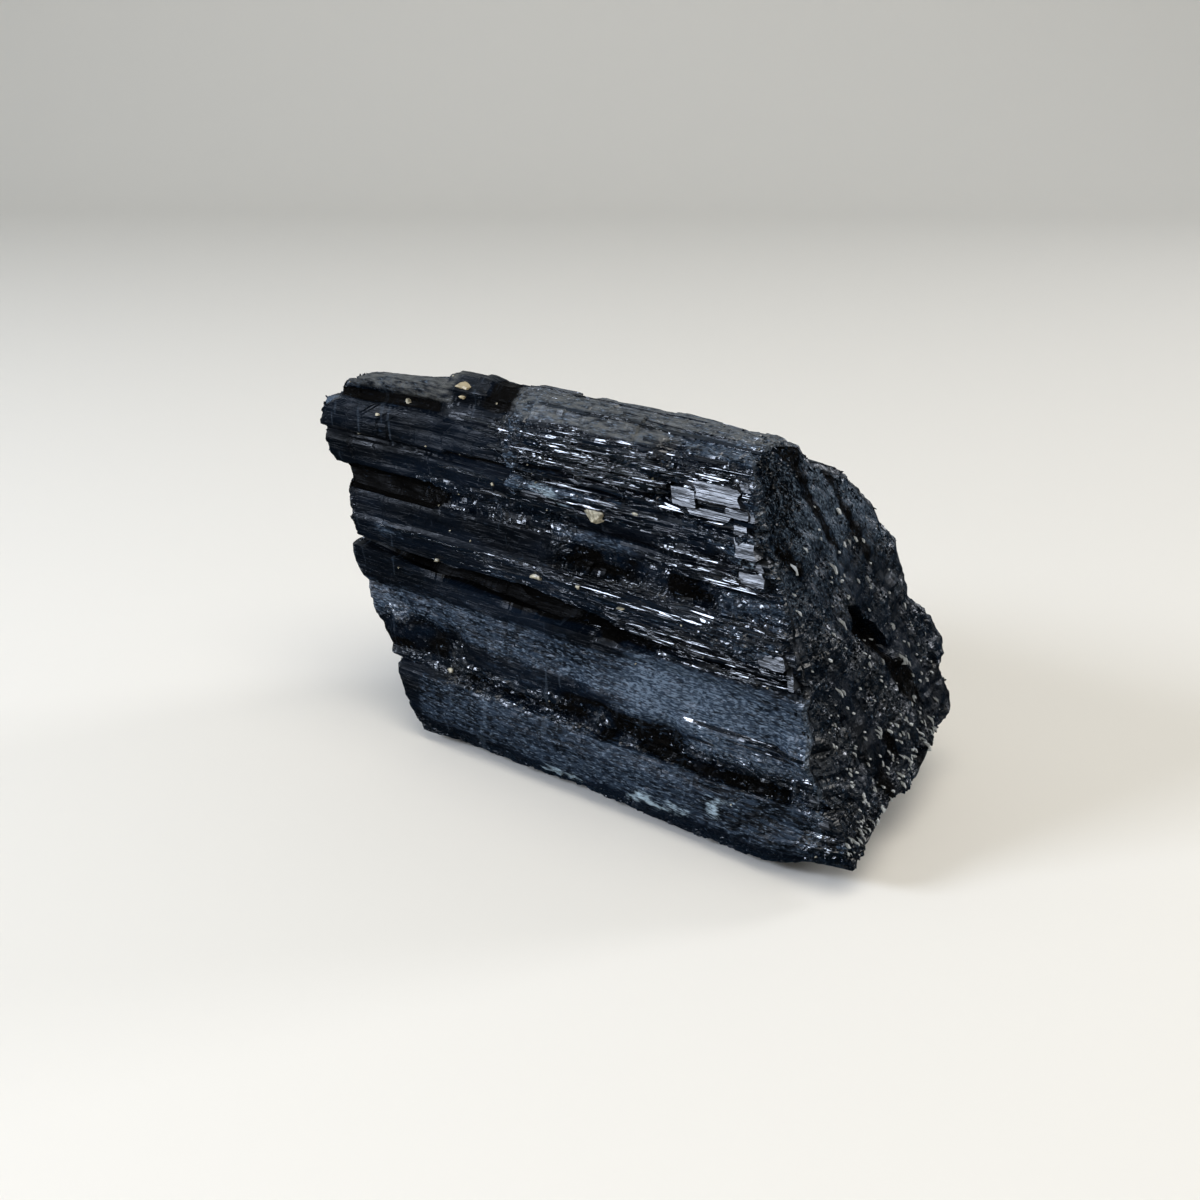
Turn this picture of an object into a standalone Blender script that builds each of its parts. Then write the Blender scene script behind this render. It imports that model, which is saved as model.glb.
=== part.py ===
# Raw black tourmaline: one broken length of a large crystal, lying on its side with its long axis
# level along X. The striated side looks toward -Y, and both ends are rough, leaning breaks.
# Lengths in this file are millimetres, in a measuring frame that starts at the lower left corner
# of the striated side; the last step moves the stone over the origin and turns it into metres.
import bpy
import numpy as np

METRES = 0.001
MIDDLE_X = 38.544
MIDDLE_Y = 28.044
REST_Z = -3.0

COLUMNS = 60
END_COLUMNS = 12
EDGE_BREAK = 0.7

# Rows of the striated side, lowest first. Heights at the left end, four fifths along and at the
# right end, then the set-back from the face plane at the left and over the right part, then how
# rough the row is.
FRONT_ROWS = (
    (-0.5, -1.0, -0.6, 1.0, 0.8, 0.5),
    (2.0, 1.6, 1.8, -0.9, -0.8, 0.5),
    (4.2, 4.0, 4.6, -1.6, -1.4, 0.15),
    (8.8, 8.4, 8.8, -0.9, -0.9, 0.1),
    (12.8, 12.0, 12.2, 0.2, 0.5, 0.2),
    (13.9, 13.1, 13.2, 1.7, 2.2, 0.4),
    (15.3, 14.8, 15.0, -0.6, -0.3, 0.6),
    (19.0, 18.6, 18.8, -1.4, -1.0, 0.7),
    (23.2, 21.6, 21.8, -1.2, -0.9, 0.6),
    (26.5, 26.0, 26.4, 0.8, 0.2, 0.5),
    (29.5, 30.6, 31.2, 2.6, 1.3, 0.3),
    (30.5, 31.6, 32.2, 1.5, 0.9, 0.1),
    (34.0, 32.6, 32.9, 1.2, 0.8, 0.05),
    (37.3, 33.4, 33.6, 0.9, 0.6, 0.1),
    (38.0, 34.2, 34.3, 3.2, 1.9, 0.4),
    (38.9, 35.1, 35.2, 3.6, 2.2, 0.4),
    (39.7, 36.4, 36.6, 1.5, 0.6, 0.2),
    (42.0, 40.4, 40.6, 0.8, 0.3, 0.15),
    (44.0, 43.8, 44.0, -0.3, -0.3, 0.2),
    (44.9, 44.8, 45.0, 1.5, 1.3, 0.2),
    (50.5, 50.4, 50.6, 0.9, 0.8, 0.2),
    (51.3, 51.2, 51.4, 3.0, 1.7, 0.4),
    (53.8, 53.4, 53.6, 3.4, 1.7, 0.5),
    (55.4, 54.6, 54.8, 0.4, 0.1, 0.4),
    (57.3, 57.0, 57.2, -0.2, 0.3, 0.4),
    (60.6, 60.6, 60.8, -0.7, -0.8, 0.2),
    (62.0, 62.0, 62.2, 0.8, 1.2, 0.3),
    (63.2, 63.2, 63.4, -0.2, -0.6, 0.2),
    (66.5, 66.6, 66.8, -0.4, -1.0, 0.25),
    (69.4, 70.2, 70.4, 0.1, -0.5, 0.3),
    (71.0, 73.6, 74.0, 1.4, 0.3, 0.5),
)

# Rows from the top of the striated side over the ridge, down the back and under the stone:
# depth and height at the left end, along the middle and at the right end, then roughness.
ROUND_ROWS = (
    ((1.7, 73.6), (1.6, 75.6), (1.6, 75.4), 0.35),
    ((2.6, 77.6), (3.4, 76.9), (3.0, 76.2), 0.4),
    ((4.6, 78.2), (4.6, 77.3), (5.2, 76.8), 0.15),
    ((7.2, 78.4), (7.4, 77.6), (9.4, 75.8), 0.1),
    ((12.0, 71.2), (13.4, 73.6), (14.4, 71.4), 0.3),
    ((15.2, 68.2), (17.0, 71.6), (18.2, 69.8), 0.3),
    ((18.6, 66.0), (20.9, 69.5), (22.0, 67.8), 0.4),
    ((23.5, 63.5), (26.5, 66.6), (27.0, 65.6), 0.4),
    ((28.5, 60.6), (31.5, 63.2), (32.0, 62.8), 0.5),
    ((31.6, 56.5), (35.0, 58.6), (36.0, 59.0), 0.4),
    ((34.5, 52.0), (38.4, 54.2), (39.2, 54.4), 0.3),
    ((38.0, 48.0), (42.2, 49.6), (42.6, 50.2), 0.4),
    ((41.2, 43.4), (45.8, 44.8), (45.5, 45.0), 0.5),
    ((43.6, 39.5), (48.2, 40.6), (47.5, 41.0), 0.4),
    ((44.4, 35.6), (48.6, 37.0), (47.2, 37.4), 0.4),
    ((47.5, 32.0), (52.2, 33.6), (51.5, 34.2), 0.5),
    ((50.5, 28.6), (55.8, 30.0), (55.6, 30.8), 0.4),
    ((52.0, 24.0), (57.4, 25.0), (57.6, 26.0), 0.3),
    ((52.2, 19.6), (57.8, 20.5), (58.4, 22.8), 0.4),
    ((50.5, 16.8), (55.8, 17.6), (55.6, 20.6), 0.4),
    ((51.0, 11.6), (56.6, 12.0), (57.1, 15.6), 0.5),
    ((49.0, 6.4), (54.2, 6.0), (55.6, 11.6), 0.5),
    ((45.6, 2.6), (50.5, 0.8), (50.0, 10.4), 0.5),
    ((41.0, 0.4), (45.5, -2.6), (41.0, 10.0), 0.5),
    ((35.5, -1.0), (39.0, -4.2), (35.0, 7.6), 0.5),
    ((29.0, -2.4), (32.0, -4.6), (29.0, 6.6), 0.5),
    ((22.0, -3.0), (25.0, -4.6), (22.0, 8.2), 0.5),
    ((15.0, -2.6), (18.0, -4.4), (15.6, 8.6), 0.5),
    ((10.0, -1.6), (12.0, -4.0), (10.6, 6.8), 0.5),
    ((6.0, -1.1), (7.2, -2.9), (6.8, 4.4), 0.5),
    ((2.8, -0.8), (3.2, -1.6), (3.4, 1.8), 0.4),
)
ROW_STATIONS = (0.0, 0.2, 0.8, 1.0)

# Outline of the left break along the striated side, and of the right break: height, then X.
LEFT_EDGE = (
    (-1.0, 0.8), (0.5, 0.0), (4.2, -2.6), (7.8, -4.0), (11.5, -5.6), (16.9, -8.4), (21.0, -11.2),
    (24.2, -13.2), (27.8, -16.0), (31.9, -19.2), (36.0, -20.2), (42.4, -18.8), (46.9, -20.2),
    (50.5, -20.4), (54.2, -23.0), (57.8, -24.4), (60.5, -25.8), (64.6, -28.0), (68.4, -26.6),
    (69.8, -20.5), (71.0, -21.4), (73.0, -21.2), (76.0, -19.6), (78.0, -18.4),
)
RIGHT_EDGE = (
    (-1.0, 101.8), (2.0, 104.6), (6.0, 104.8), (13.0, 101.0), (21.0, 97.4), (28.0, 95.6),
    (41.0, 92.0), (50.0, 88.4), (64.0, 84.6), (72.0, 83.4), (76.0, 81.0), (79.0, 77.5),
)
LEFT_TURN = 0.09
RIGHT_PLANE = (106.0, -0.123, -0.278)
RIGHT_CREST_DEPTH = 9.0

# Places on the striated side that stand out (less than nothing) or are broken in (more):
# X from and to, height from and to, set-back, width of the slope at the place's edge, roughness.
PLACES = (
    (27.0, 84.0, 57.5, 76.0, -1.2, 1.2, 0.0),
    (-30.0, 5.0, 50.8, 54.6, 2.2, 1.6, 0.1),
    (13.0, 58.0, 34.0, 38.6, 1.4, 1.8, 0.3),
    (37.0, 75.0, 44.6, 50.6, 1.3, 1.5, 0.6),
    (19.5, 26.5, 72.6, 77.0, 2.6, 1.0, 0.3),
    (62.8, 67.4, 63.5, 74.5, 0.9, 1.0, 1.1),
    (74.5, 86.0, 53.5, 65.5, 0.5, 1.2, 1.0),
    (-11.0, 13.0, 14.5, 26.0, 1.3, 2.2, 0.9),
    (24.0, 32.0, 63.5, 73.0, -0.8, 1.0, 0.8),
    (75.0, 92.0, 40.0, 50.0, 0.4, 1.4, 0.7),
    (88.0, 104.0, 8.0, 24.0, 0.7, 2.0, 0.8),
)

# The ridge drops where a length of it has broken away: X of the break, drop there, growth per mm.
RIDGE_BREAK = (8.0, 1.8, 0.1)
# The lowest rows rise toward the right end: X where the rise starts, its length and its height.
FOOT_RISE = (86.0, 19.0, 5.4)
# The dark hollow in the right break: depth and height of its middle, its half-lengths and depth.
HOLLOW = (24.5, 38.5, 8.5, 3.4, 4.6)


# Evenly spread numbers from -1 to 1, always the same for the same whole numbers.
def scatter(i, j, k):
    mixed = np.sin(i * 127.1 + j * 311.7 + k * 74.7) * 4375.85
    return 2.0 * (mixed - np.floor(mixed)) - 1.0


# Smooth lumps: scattered numbers at the corners of a grid of cells, blended inside each cell.
def lumps(x, y, z, size):
    position = [np.asarray(value, float) / size for value in np.broadcast_arrays(x, y, z)]
    corner = [np.floor(value) for value in position]
    inside = [value - low for value, low in zip(position, corner)]
    blend = [value * value * (3.0 - 2.0 * value) for value in inside]
    total = 0.0
    for step in np.ndindex(2, 2, 2):
        weight = 1.0
        for side, amount in zip(step, blend):
            weight = weight * (amount if side else 1.0 - amount)
        total = total + weight * scatter(*(low + side for low, side in zip(corner, step)))
    return total


# A ramp from 0 to 1 with soft ends.
def ramp(value, start, length):
    share = np.clip((value - start) / length, 0.0, 1.0)
    return share * share * (3.0 - 2.0 * share)


# 1 between two limits, falling to 0 over a slope on each side.
def between(value, low, high, slope):
    return ramp(value, low - slope / 2, slope) * (1.0 - ramp(value, high - slope / 2, slope))


# Depth, height and roughness of every row at every station, as one table.
def row_table():
    rows = []
    for low, far, end, left_set, right_set, rough in FRONT_ROWS:
        heights = (low, low + 0.25 * (far - low), far, end)
        depths = (left_set, left_set + 0.25 * (right_set - left_set), right_set, right_set)
        rows.append([(depth, height, rough) for depth, height in zip(depths, heights)])
    for left, middle, right, rough in ROUND_ROWS:
        rows.append([(*point, rough) for point in (left, middle, middle, right)])
    return np.array(rows)


# X of the left and right breaks over a depth and a height.
def break_planes(depth, height):
    left = np.interp(height, *np.transpose(LEFT_EDGE)) + LEFT_TURN * depth
    left = left + 1.4 * lumps(7.0, depth, height, 9.0) + 0.8 * lumps(8.0, depth, height, 3.6)
    front = np.interp(height, *np.transpose(RIGHT_EDGE))
    start, per_depth, per_height = RIGHT_PLANE
    plane = start + per_depth * depth + per_height * (height - 2.0)
    right = front + (plane - front) * ramp(depth, 0.0, RIGHT_CREST_DEPTH)
    slant = depth + 0.6 * height
    cross = height - 0.6 * depth
    streaks = 0.7 * lumps(3.0, slant / 3.0, cross, 3.0) + 0.6 * lumps(4.0, slant, cross, 2.2)
    right = right + 1.1 * lumps(5.0, depth, height, 10.0) + streaks
    middle_depth, middle_height, half_long, half_wide, deep = HOLLOW
    along = (depth - middle_depth) * 0.74 - (height - middle_height) * 0.67
    over = (depth - middle_depth) * 0.67 + (height - middle_height) * 0.74
    bowl = np.clip(1.0 - (along / half_long) ** 2 - (over / half_wide) ** 2, 0.0, 1.0)
    return left, right - deep * np.sqrt(bowl)


# Set-back of the striated side beyond its rows, and the roughness there.
def side_relief(x, height):
    depth = 0.0
    rough = 0.0
    for x_low, x_high, low, high, back, slope, grain in PLACES:
        share = between(x, x_low, x_high, slope) * between(height, low, high, slope)
        depth = depth + back * share
        rough = rough + grain * share
    return depth, rough


# Lengths of broken columns: each row steps in and out a little at scattered places along X.
def column_steps(x, row):
    length = 17.0 + 9.0 * scatter(row, 3.0, 1.0)
    piece = np.floor((x + 30.0 * scatter(row, 5.0, 2.0)) / length)
    return scatter(piece, row, 4.0)


# The whole skin between the two breaks: one column per share of the length, one row per arris.
def skin(shares):
    table = row_table()
    weights = [np.interp(shares, ROW_STATIONS, corner) for corner in np.eye(len(ROW_STATIONS))]
    depth, height, rough = np.einsum("sc,rsv->vcr", np.array(weights), table)
    left, right = break_planes(depth, height)
    x = left + (right - left) * shares[:, None]
    row = np.arange(len(table))[None, :]
    front = row < len(FRONT_ROWS)
    depth = depth * np.where(front, 0.8 + 0.45 * lumps(x, 9.0 * row, 0.0, 22.0), 1.0)
    ridge = (row > len(FRONT_ROWS)) & (row < len(FRONT_ROWS) + 4)
    under = row > len(table) - 9

    start, drop, growth = RIDGE_BREAK
    gone = np.clip(start - x, 0.0, None)
    height = height - np.where(ridge, (drop * ramp(gone, 0.0, 1.5) + growth * gone), 0.0)
    rise_start, rise_length, rise = FOOT_RISE
    near_foot = np.clip(1.0 - (height + 1.0) / 10.0, 0.0, 1.0)
    height = height + np.where(front, rise * ramp(x, rise_start, rise_length) * near_foot, 0.0)

    relief, more_rough = side_relief(x, height)
    rough = rough + np.where(front, more_rough, 0.0)
    steps = 0.3 * column_steps(x, row) + 0.55 * column_steps(x, np.floor(row / 3.0) + 90.0)
    ribs = np.where(ridge, 0.3, 1.0) * (1.0 - ramp(x, 80.0, 12.0)) * lumps(x, 9.0 * row, 5.0, 26.0)
    ribs = np.where(front, 0.45 * lumps(x / 4.0, depth, height, 4.0), ribs)
    grains = rough * np.where(front, 1.5, 1.0) * lumps(x / 1.7, depth, height, 3.2)
    edge = EDGE_BREAK * ((shares < 0.001) | (shares > 0.999))[:, None]
    inward = np.where(front, relief, 0.0) + np.where(under, 0.0, steps + ribs) + grains + edge

    along = np.roll(depth, -1, axis=1) - np.roll(depth, 1, axis=1)
    up = np.roll(height, -1, axis=1) - np.roll(height, 1, axis=1)
    size = np.hypot(along, up)
    flat_front = row < len(FRONT_ROWS) - 1
    depth = depth + inward * np.where(flat_front, 1.0, up / size)
    height = height + inward * np.where(flat_front, 0.0, -along / size)
    return x, depth, np.maximum(height, REST_Z)


# Lines of points over one break, each from a row of the striated side to the row that faces it.
def end_lines(x, depth, height, side):
    front = np.arange(1, len(FRONT_ROWS) - 1)
    back = 2 * len(FRONT_ROWS) - 1 - front
    share = np.arange(1, END_COLUMNS) / END_COLUMNS
    line_depth = depth[front, None] + (depth[back] - depth[front])[:, None] * share
    line_height = height[front, None] + (height[back] - height[front])[:, None] * share
    off_rim = x - break_planes(depth, height)[side]
    near_rim = off_rim[front, None] * (1.0 - share) ** 4 + off_rim[back, None] * share ** 4
    surface = break_planes(line_depth, line_height)[side] + near_rim
    return np.stack([surface, line_depth, line_height], axis=-1)


# Quads around the skin between its columns.
def skin_faces(rows):
    column, row = np.meshgrid(np.arange(COLUMNS - 1), np.arange(rows), indexing="ij")
    here = column * rows + row
    after = column * rows + (row + 1) % rows
    return np.stack([here, here + rows, after + rows, after], axis=-1).reshape(-1, 4).tolist()


# Quads between the lines of one break, and a fan of triangles at its foot and at its top.
def end_faces(rim, first, turned):
    count = len(FRONT_ROWS)
    front = rim + np.arange(1, count - 1)
    back = rim + 2 * count - 1 - np.arange(1, count - 1)
    inner = first + np.arange((count - 2) * (END_COLUMNS - 1)).reshape(count - 2, -1)
    lines = np.column_stack([front, inner, back])
    quads = np.stack([lines[:-1, :-1], lines[:-1, 1:], lines[1:, 1:], lines[1:, :-1]], axis=-1)
    faces = quads.reshape(-1, 4).tolist()
    foot = lines[0].tolist() + [rim + 2 * count - 1]
    top = lines[-1].tolist() + [rim + count]
    for low, high in zip(foot[:-1], foot[1:]):
        faces.append([rim, high, low])
    for low, high in zip(top[:-1], top[1:]):
        faces.append([rim + count - 1, low, high])
    return [face[::-1] for face in faces] if turned else faces


def stone_material():
    material = bpy.data.materials.new("black tourmaline")
    material.use_nodes = True
    shader = material.node_tree.nodes["Principled BSDF"]
    shader.inputs["Base Color"].default_value = (0.007, 0.009, 0.013, 1.0)
    shader.inputs["Roughness"].default_value = 0.32
    shader.inputs["Metallic"].default_value = 0.0
    shader.inputs["IOR"].default_value = 1.64
    return material


def build_stone():
    shares = np.linspace(0.0, 1.0, COLUMNS)
    x, depth, height = skin(shares)
    rows = x.shape[1]
    left = end_lines(x[0], depth[0], height[0], 0).reshape(-1, 3)
    right = end_lines(x[-1], depth[-1], height[-1], 1).reshape(-1, 3)
    body = np.stack([x, depth, height], axis=-1).reshape(-1, 3)
    points = np.concatenate([body, left, right])
    points = (points - np.array([MIDDLE_X, MIDDLE_Y, REST_Z])) * METRES
    faces = skin_faces(rows)
    faces += end_faces(0, len(body), True)
    faces += end_faces(len(body) - rows, len(body) + len(left), False)

    mesh = bpy.data.meshes.new("tourmaline")
    mesh.from_pydata(points.tolist(), [], faces)
    mesh.validate()
    stone = bpy.data.objects.new("tourmaline", mesh)
    bpy.context.scene.collection.objects.link(stone)
    mesh.materials.append(stone_material())
    return stone


for item in list(bpy.data.objects):
    bpy.data.objects.remove(item, do_unlink=True)
build_stone()
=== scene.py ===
# Raw black tourmaline, dressed: one broken length of a large crystal, lying with its long axis level.
# The skin repeats the solid's own shape on a fine grid and adds striae, laths and fracture grains.
# Lengths are millimetres in the stone's measuring frame until toMetres moves them over the origin.
import math

import bpy
import numpy as np
from mathutils import Matrix, Vector


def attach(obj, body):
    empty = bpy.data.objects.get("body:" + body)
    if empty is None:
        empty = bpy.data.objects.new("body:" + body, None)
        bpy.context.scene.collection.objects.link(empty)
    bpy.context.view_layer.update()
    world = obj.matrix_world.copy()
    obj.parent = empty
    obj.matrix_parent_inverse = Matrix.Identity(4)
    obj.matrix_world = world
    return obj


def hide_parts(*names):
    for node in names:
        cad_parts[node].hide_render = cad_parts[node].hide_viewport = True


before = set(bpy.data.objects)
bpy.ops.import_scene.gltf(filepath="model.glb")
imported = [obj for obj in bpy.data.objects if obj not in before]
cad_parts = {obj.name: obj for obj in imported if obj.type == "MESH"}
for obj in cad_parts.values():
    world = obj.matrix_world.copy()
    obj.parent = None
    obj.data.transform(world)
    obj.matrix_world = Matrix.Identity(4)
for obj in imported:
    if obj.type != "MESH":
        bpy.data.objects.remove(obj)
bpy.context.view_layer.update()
print("frame loaded:", sorted(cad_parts))

stone = {
    # the place in the measuring frame that becomes the origin
    "middle": (38.544, 28.044, -3.0),
    # fine columns along the stone, steps across a break, rows in each half of the outline
    "columns": 212,
    "endColumns": 76,
    "rowsEachHalf": 170,
    # how much closer the rows lie on the ridge, and how much wider underneath
    "ridgeShare": 2.2,
    "underShare": 0.4,
    # set-back of the rim, share of the column steps on the striated side, depth of the hollows
    "edgeBreak": 0.7,
    "sideSteps": 0.35,
    "hollowDepth": 1.1,
    # rows above the striated side that carry its finishes too, and the fine rows that lie on them
    "ridgeRows": 3.6,
    "bevelRows": 14,
    # where along the length each end counts as crushed: start and length of the ramp
    "nearEnds": ((0.0, 0.02), (0.965, 0.03)),
    # laths along the striae: width, usual length, level, slope across
    "laths": (
        (4.3, 60.0, 0.25, 0.08), (2.3, 48.0, 0.22, 0.2), (1.25, 38.0, 0.15, 0.4), (0.75, 28.0, 0.08, 0.5),
    ),
    # striated side, lowest row first: heights at the left end, four fifths along and at the right
    # end, set-back at the left and over the right part, roughness
    "sideRows": (
        (-0.5, -1.0, -0.6, 1.0, 0.8, 0.5),
        (2.0, 1.6, 1.8, -0.9, -0.8, 0.5),
        (4.2, 4.0, 4.6, -1.6, -1.4, 0.15),
        (8.8, 8.4, 8.8, -1.4, -1.2, 0.1),
        (12.8, 12.0, 12.2, -0.9, -0.6, 0.2),
        (13.9, 13.1, 13.2, 1.5, 2.0, 0.5),
        (15.3, 14.8, 15.0, -0.6, -0.3, 0.6),
        (19.0, 18.6, 18.8, -1.4, -1.0, 0.7),
        (23.2, 21.6, 21.8, -1.2, -0.9, 0.6),
        (26.5, 26.0, 26.4, 0.8, 0.2, 0.5),
        (29.5, 30.6, 31.2, 2.6, 1.3, 0.3),
        (30.5, 31.6, 32.2, 1.5, 0.9, 0.1),
        (34.0, 32.6, 32.9, 1.2, 0.8, 0.05),
        (37.3, 33.4, 33.6, 0.9, 0.6, 0.1),
        (38.0, 34.2, 34.3, 3.2, 1.9, 0.4),
        (38.9, 35.1, 35.2, 3.6, 2.2, 0.4),
        (39.7, 36.4, 36.6, 1.5, 0.6, 0.2),
        (42.0, 40.4, 40.6, 0.8, 0.3, 0.15),
        (44.0, 43.8, 44.0, -0.3, -0.3, 0.2),
        (44.9, 44.8, 45.0, 0.6, 1.1, 0.2),
        (50.5, 50.4, 50.6, 0.9, 0.8, 0.2),
        (51.3, 51.2, 51.4, 2.2, 1.7, 0.4),
        (53.8, 53.4, 53.6, 2.4, 1.7, 0.5),
        (55.4, 54.6, 54.8, 0.4, 0.1, 0.4),
        (57.3, 57.0, 57.2, -0.2, 0.3, 0.4),
        (60.6, 60.6, 60.8, -0.7, -0.8, 0.2),
        (62.0, 62.0, 62.2, 0.8, 1.2, 0.3),
        (63.2, 63.2, 63.4, -0.2, -0.6, 0.2),
        (66.5, 66.6, 66.8, -0.4, -1.0, 0.25),
        (69.4, 70.2, 70.4, 0.1, -0.5, 0.3),
        (71.0, 73.6, 74.0, 1.4, 0.3, 0.5),
    ),
    # from the top of that side over the ridge, down the back and under: depth and height at the
    # left end, along the middle and at the right end, roughness
    "roundRows": (
        ((1.7, 73.6), (1.6, 75.6), (1.6, 75.4), 0.35),
        ((2.6, 77.6), (3.4, 76.9), (3.0, 76.2), 0.4),
        ((4.6, 78.2), (4.6, 77.3), (5.2, 76.8), 0.15),
        ((7.2, 78.4), (7.4, 77.6), (9.4, 75.8), 0.1),
        ((12.0, 71.2), (13.4, 73.6), (14.4, 71.4), 0.3),
        ((15.2, 68.2), (17.0, 71.6), (18.2, 69.8), 0.3),
        ((18.6, 66.0), (20.9, 69.5), (22.0, 67.8), 0.4),
        ((23.5, 63.5), (26.5, 66.6), (27.0, 65.6), 0.4),
        ((28.5, 60.6), (31.5, 63.2), (32.0, 62.8), 0.5),
        ((31.6, 56.5), (35.0, 58.6), (36.0, 59.0), 0.4),
        ((34.5, 52.0), (38.4, 54.2), (39.2, 54.4), 0.3),
        ((38.0, 48.0), (42.2, 49.6), (42.6, 50.2), 0.4),
        ((41.2, 43.4), (45.8, 44.8), (45.5, 45.0), 0.5),
        ((43.6, 39.5), (48.2, 40.6), (47.5, 41.0), 0.4),
        ((44.4, 35.6), (48.6, 37.0), (47.2, 37.4), 0.4),
        ((47.5, 32.0), (52.2, 33.6), (51.5, 34.2), 0.5),
        ((50.5, 28.6), (55.8, 30.0), (55.6, 30.8), 0.4),
        ((52.0, 24.0), (57.4, 25.0), (57.6, 26.0), 0.3),
        ((52.2, 19.6), (57.8, 20.5), (58.4, 22.8), 0.4),
        ((50.5, 16.8), (55.8, 17.6), (55.6, 20.6), 0.4),
        ((51.0, 11.6), (56.6, 12.0), (57.1, 15.6), 0.5),
        ((49.0, 6.4), (54.2, 6.0), (55.6, 11.6), 0.5),
        ((45.6, 2.6), (50.5, 0.8), (50.0, 10.4), 0.5),
        ((41.0, 0.4), (45.5, -2.6), (41.0, 10.0), 0.5),
        ((35.5, -1.0), (39.0, -4.2), (35.0, 7.6), 0.5),
        ((29.0, -2.4), (32.0, -4.6), (29.0, 6.6), 0.5),
        ((22.0, -3.0), (25.0, -4.6), (22.0, 8.2), 0.5),
        ((15.0, -2.6), (18.0, -4.4), (15.6, 8.6), 0.5),
        ((10.0, -1.6), (12.0, -4.0), (10.6, 6.8), 0.5),
        ((6.0, -1.1), (7.2, -2.9), (6.8, 4.4), 0.5),
        ((2.8, -0.8), (3.2, -1.6), (3.4, 1.8), 0.4),
    ),
    # the shares of the length at which the rows are set
    "stations": (0.0, 0.2, 0.8, 1.0),
    # breaks: height and X along the striated side
    "leftEdge": (
        (-1.0, 0.8), (0.5, 0.0), (4.2, -2.6), (7.8, -4.0), (11.5, -5.6), (16.9, -8.4), (21.0, -11.2),
        (24.2, -13.2), (27.8, -16.0), (31.9, -19.2), (36.0, -20.2), (42.4, -18.8), (46.9, -20.2),
        (50.5, -20.4), (54.2, -23.0), (57.8, -24.4), (60.5, -25.8), (64.6, -28.0), (68.4, -26.6),
        (69.8, -20.5), (71.0, -21.4), (73.0, -21.2), (76.0, -19.6), (78.0, -18.4),
    ),
    "rightEdge": (
        (-1.0, 101.8), (2.0, 104.6), (6.0, 104.8), (13.0, 101.0), (21.0, 97.4), (28.0, 95.6),
        (41.0, 92.0), (50.0, 88.4), (64.0, 84.6), (72.0, 83.4), (76.0, 81.0), (79.0, 77.5),
    ),
    # the left break's X per depth; the right one's X at its foot, per depth and per height, and how
    # deep the edge of the striated side reaches before that plane takes over
    "leftTurn": 0.09,
    "rightPlane": (106.0, -0.123, -0.278),
    "rightCrestDepth": 9.0,
    # X from and to, height from and to, set-back, slope up and down, slope along, roughness
    "places": (
        (27.0, 84.0, 57.5, 76.0, -1.3, 1.2, 0.9, 0.0),
        (-40.0, 5.0, 50.8, 54.6, 1.0, 1.6, 5.0, 0.1),
        (37.0, 75.0, 44.6, 50.6, 1.5, 1.5, 7.0, 0.6),
        (19.5, 26.5, 72.6, 77.0, 2.6, 1.0, 1.0, 0.3),
        (62.8, 67.4, 63.5, 74.5, 0.9, 1.0, 1.0, 1.1),
        (74.5, 86.0, 53.5, 65.5, 0.5, 1.2, 2.0, 1.0),
        (-11.0, 13.0, 14.5, 26.0, 1.3, 2.2, 6.0, 0.9),
        (24.0, 32.0, 63.5, 73.0, -0.8, 1.0, 1.2, 0.8),
        (75.0, 92.0, 40.0, 50.0, 0.4, 1.4, 2.0, 0.7),
        (88.0, 104.0, 8.0, 24.0, 0.7, 2.0, 3.0, 0.8),
    ),
    # left of this X the ridge is lower by this much, and by this share more further left
    "ridgeBreak": (8.0, 1.8, 0.1),
    # from this X on, over this length, the foot rises by this much
    "footRise": (86.0, 19.0, 5.4),
    # hollow of the right break: depth and height of its middle, half its length and width, its slant
    # and how deep it is
    "hollow": {"at": (24.5, 38.5), "half": (9.5, 2.6), "slant": (0.74, 0.67), "deep": 4.6},
}
# which lumps and chips each break takes, left and right, and the way the streaks run down a break
breakMarks = (3.0, 23.0)
slantWay = (0.55, 0.83)

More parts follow.
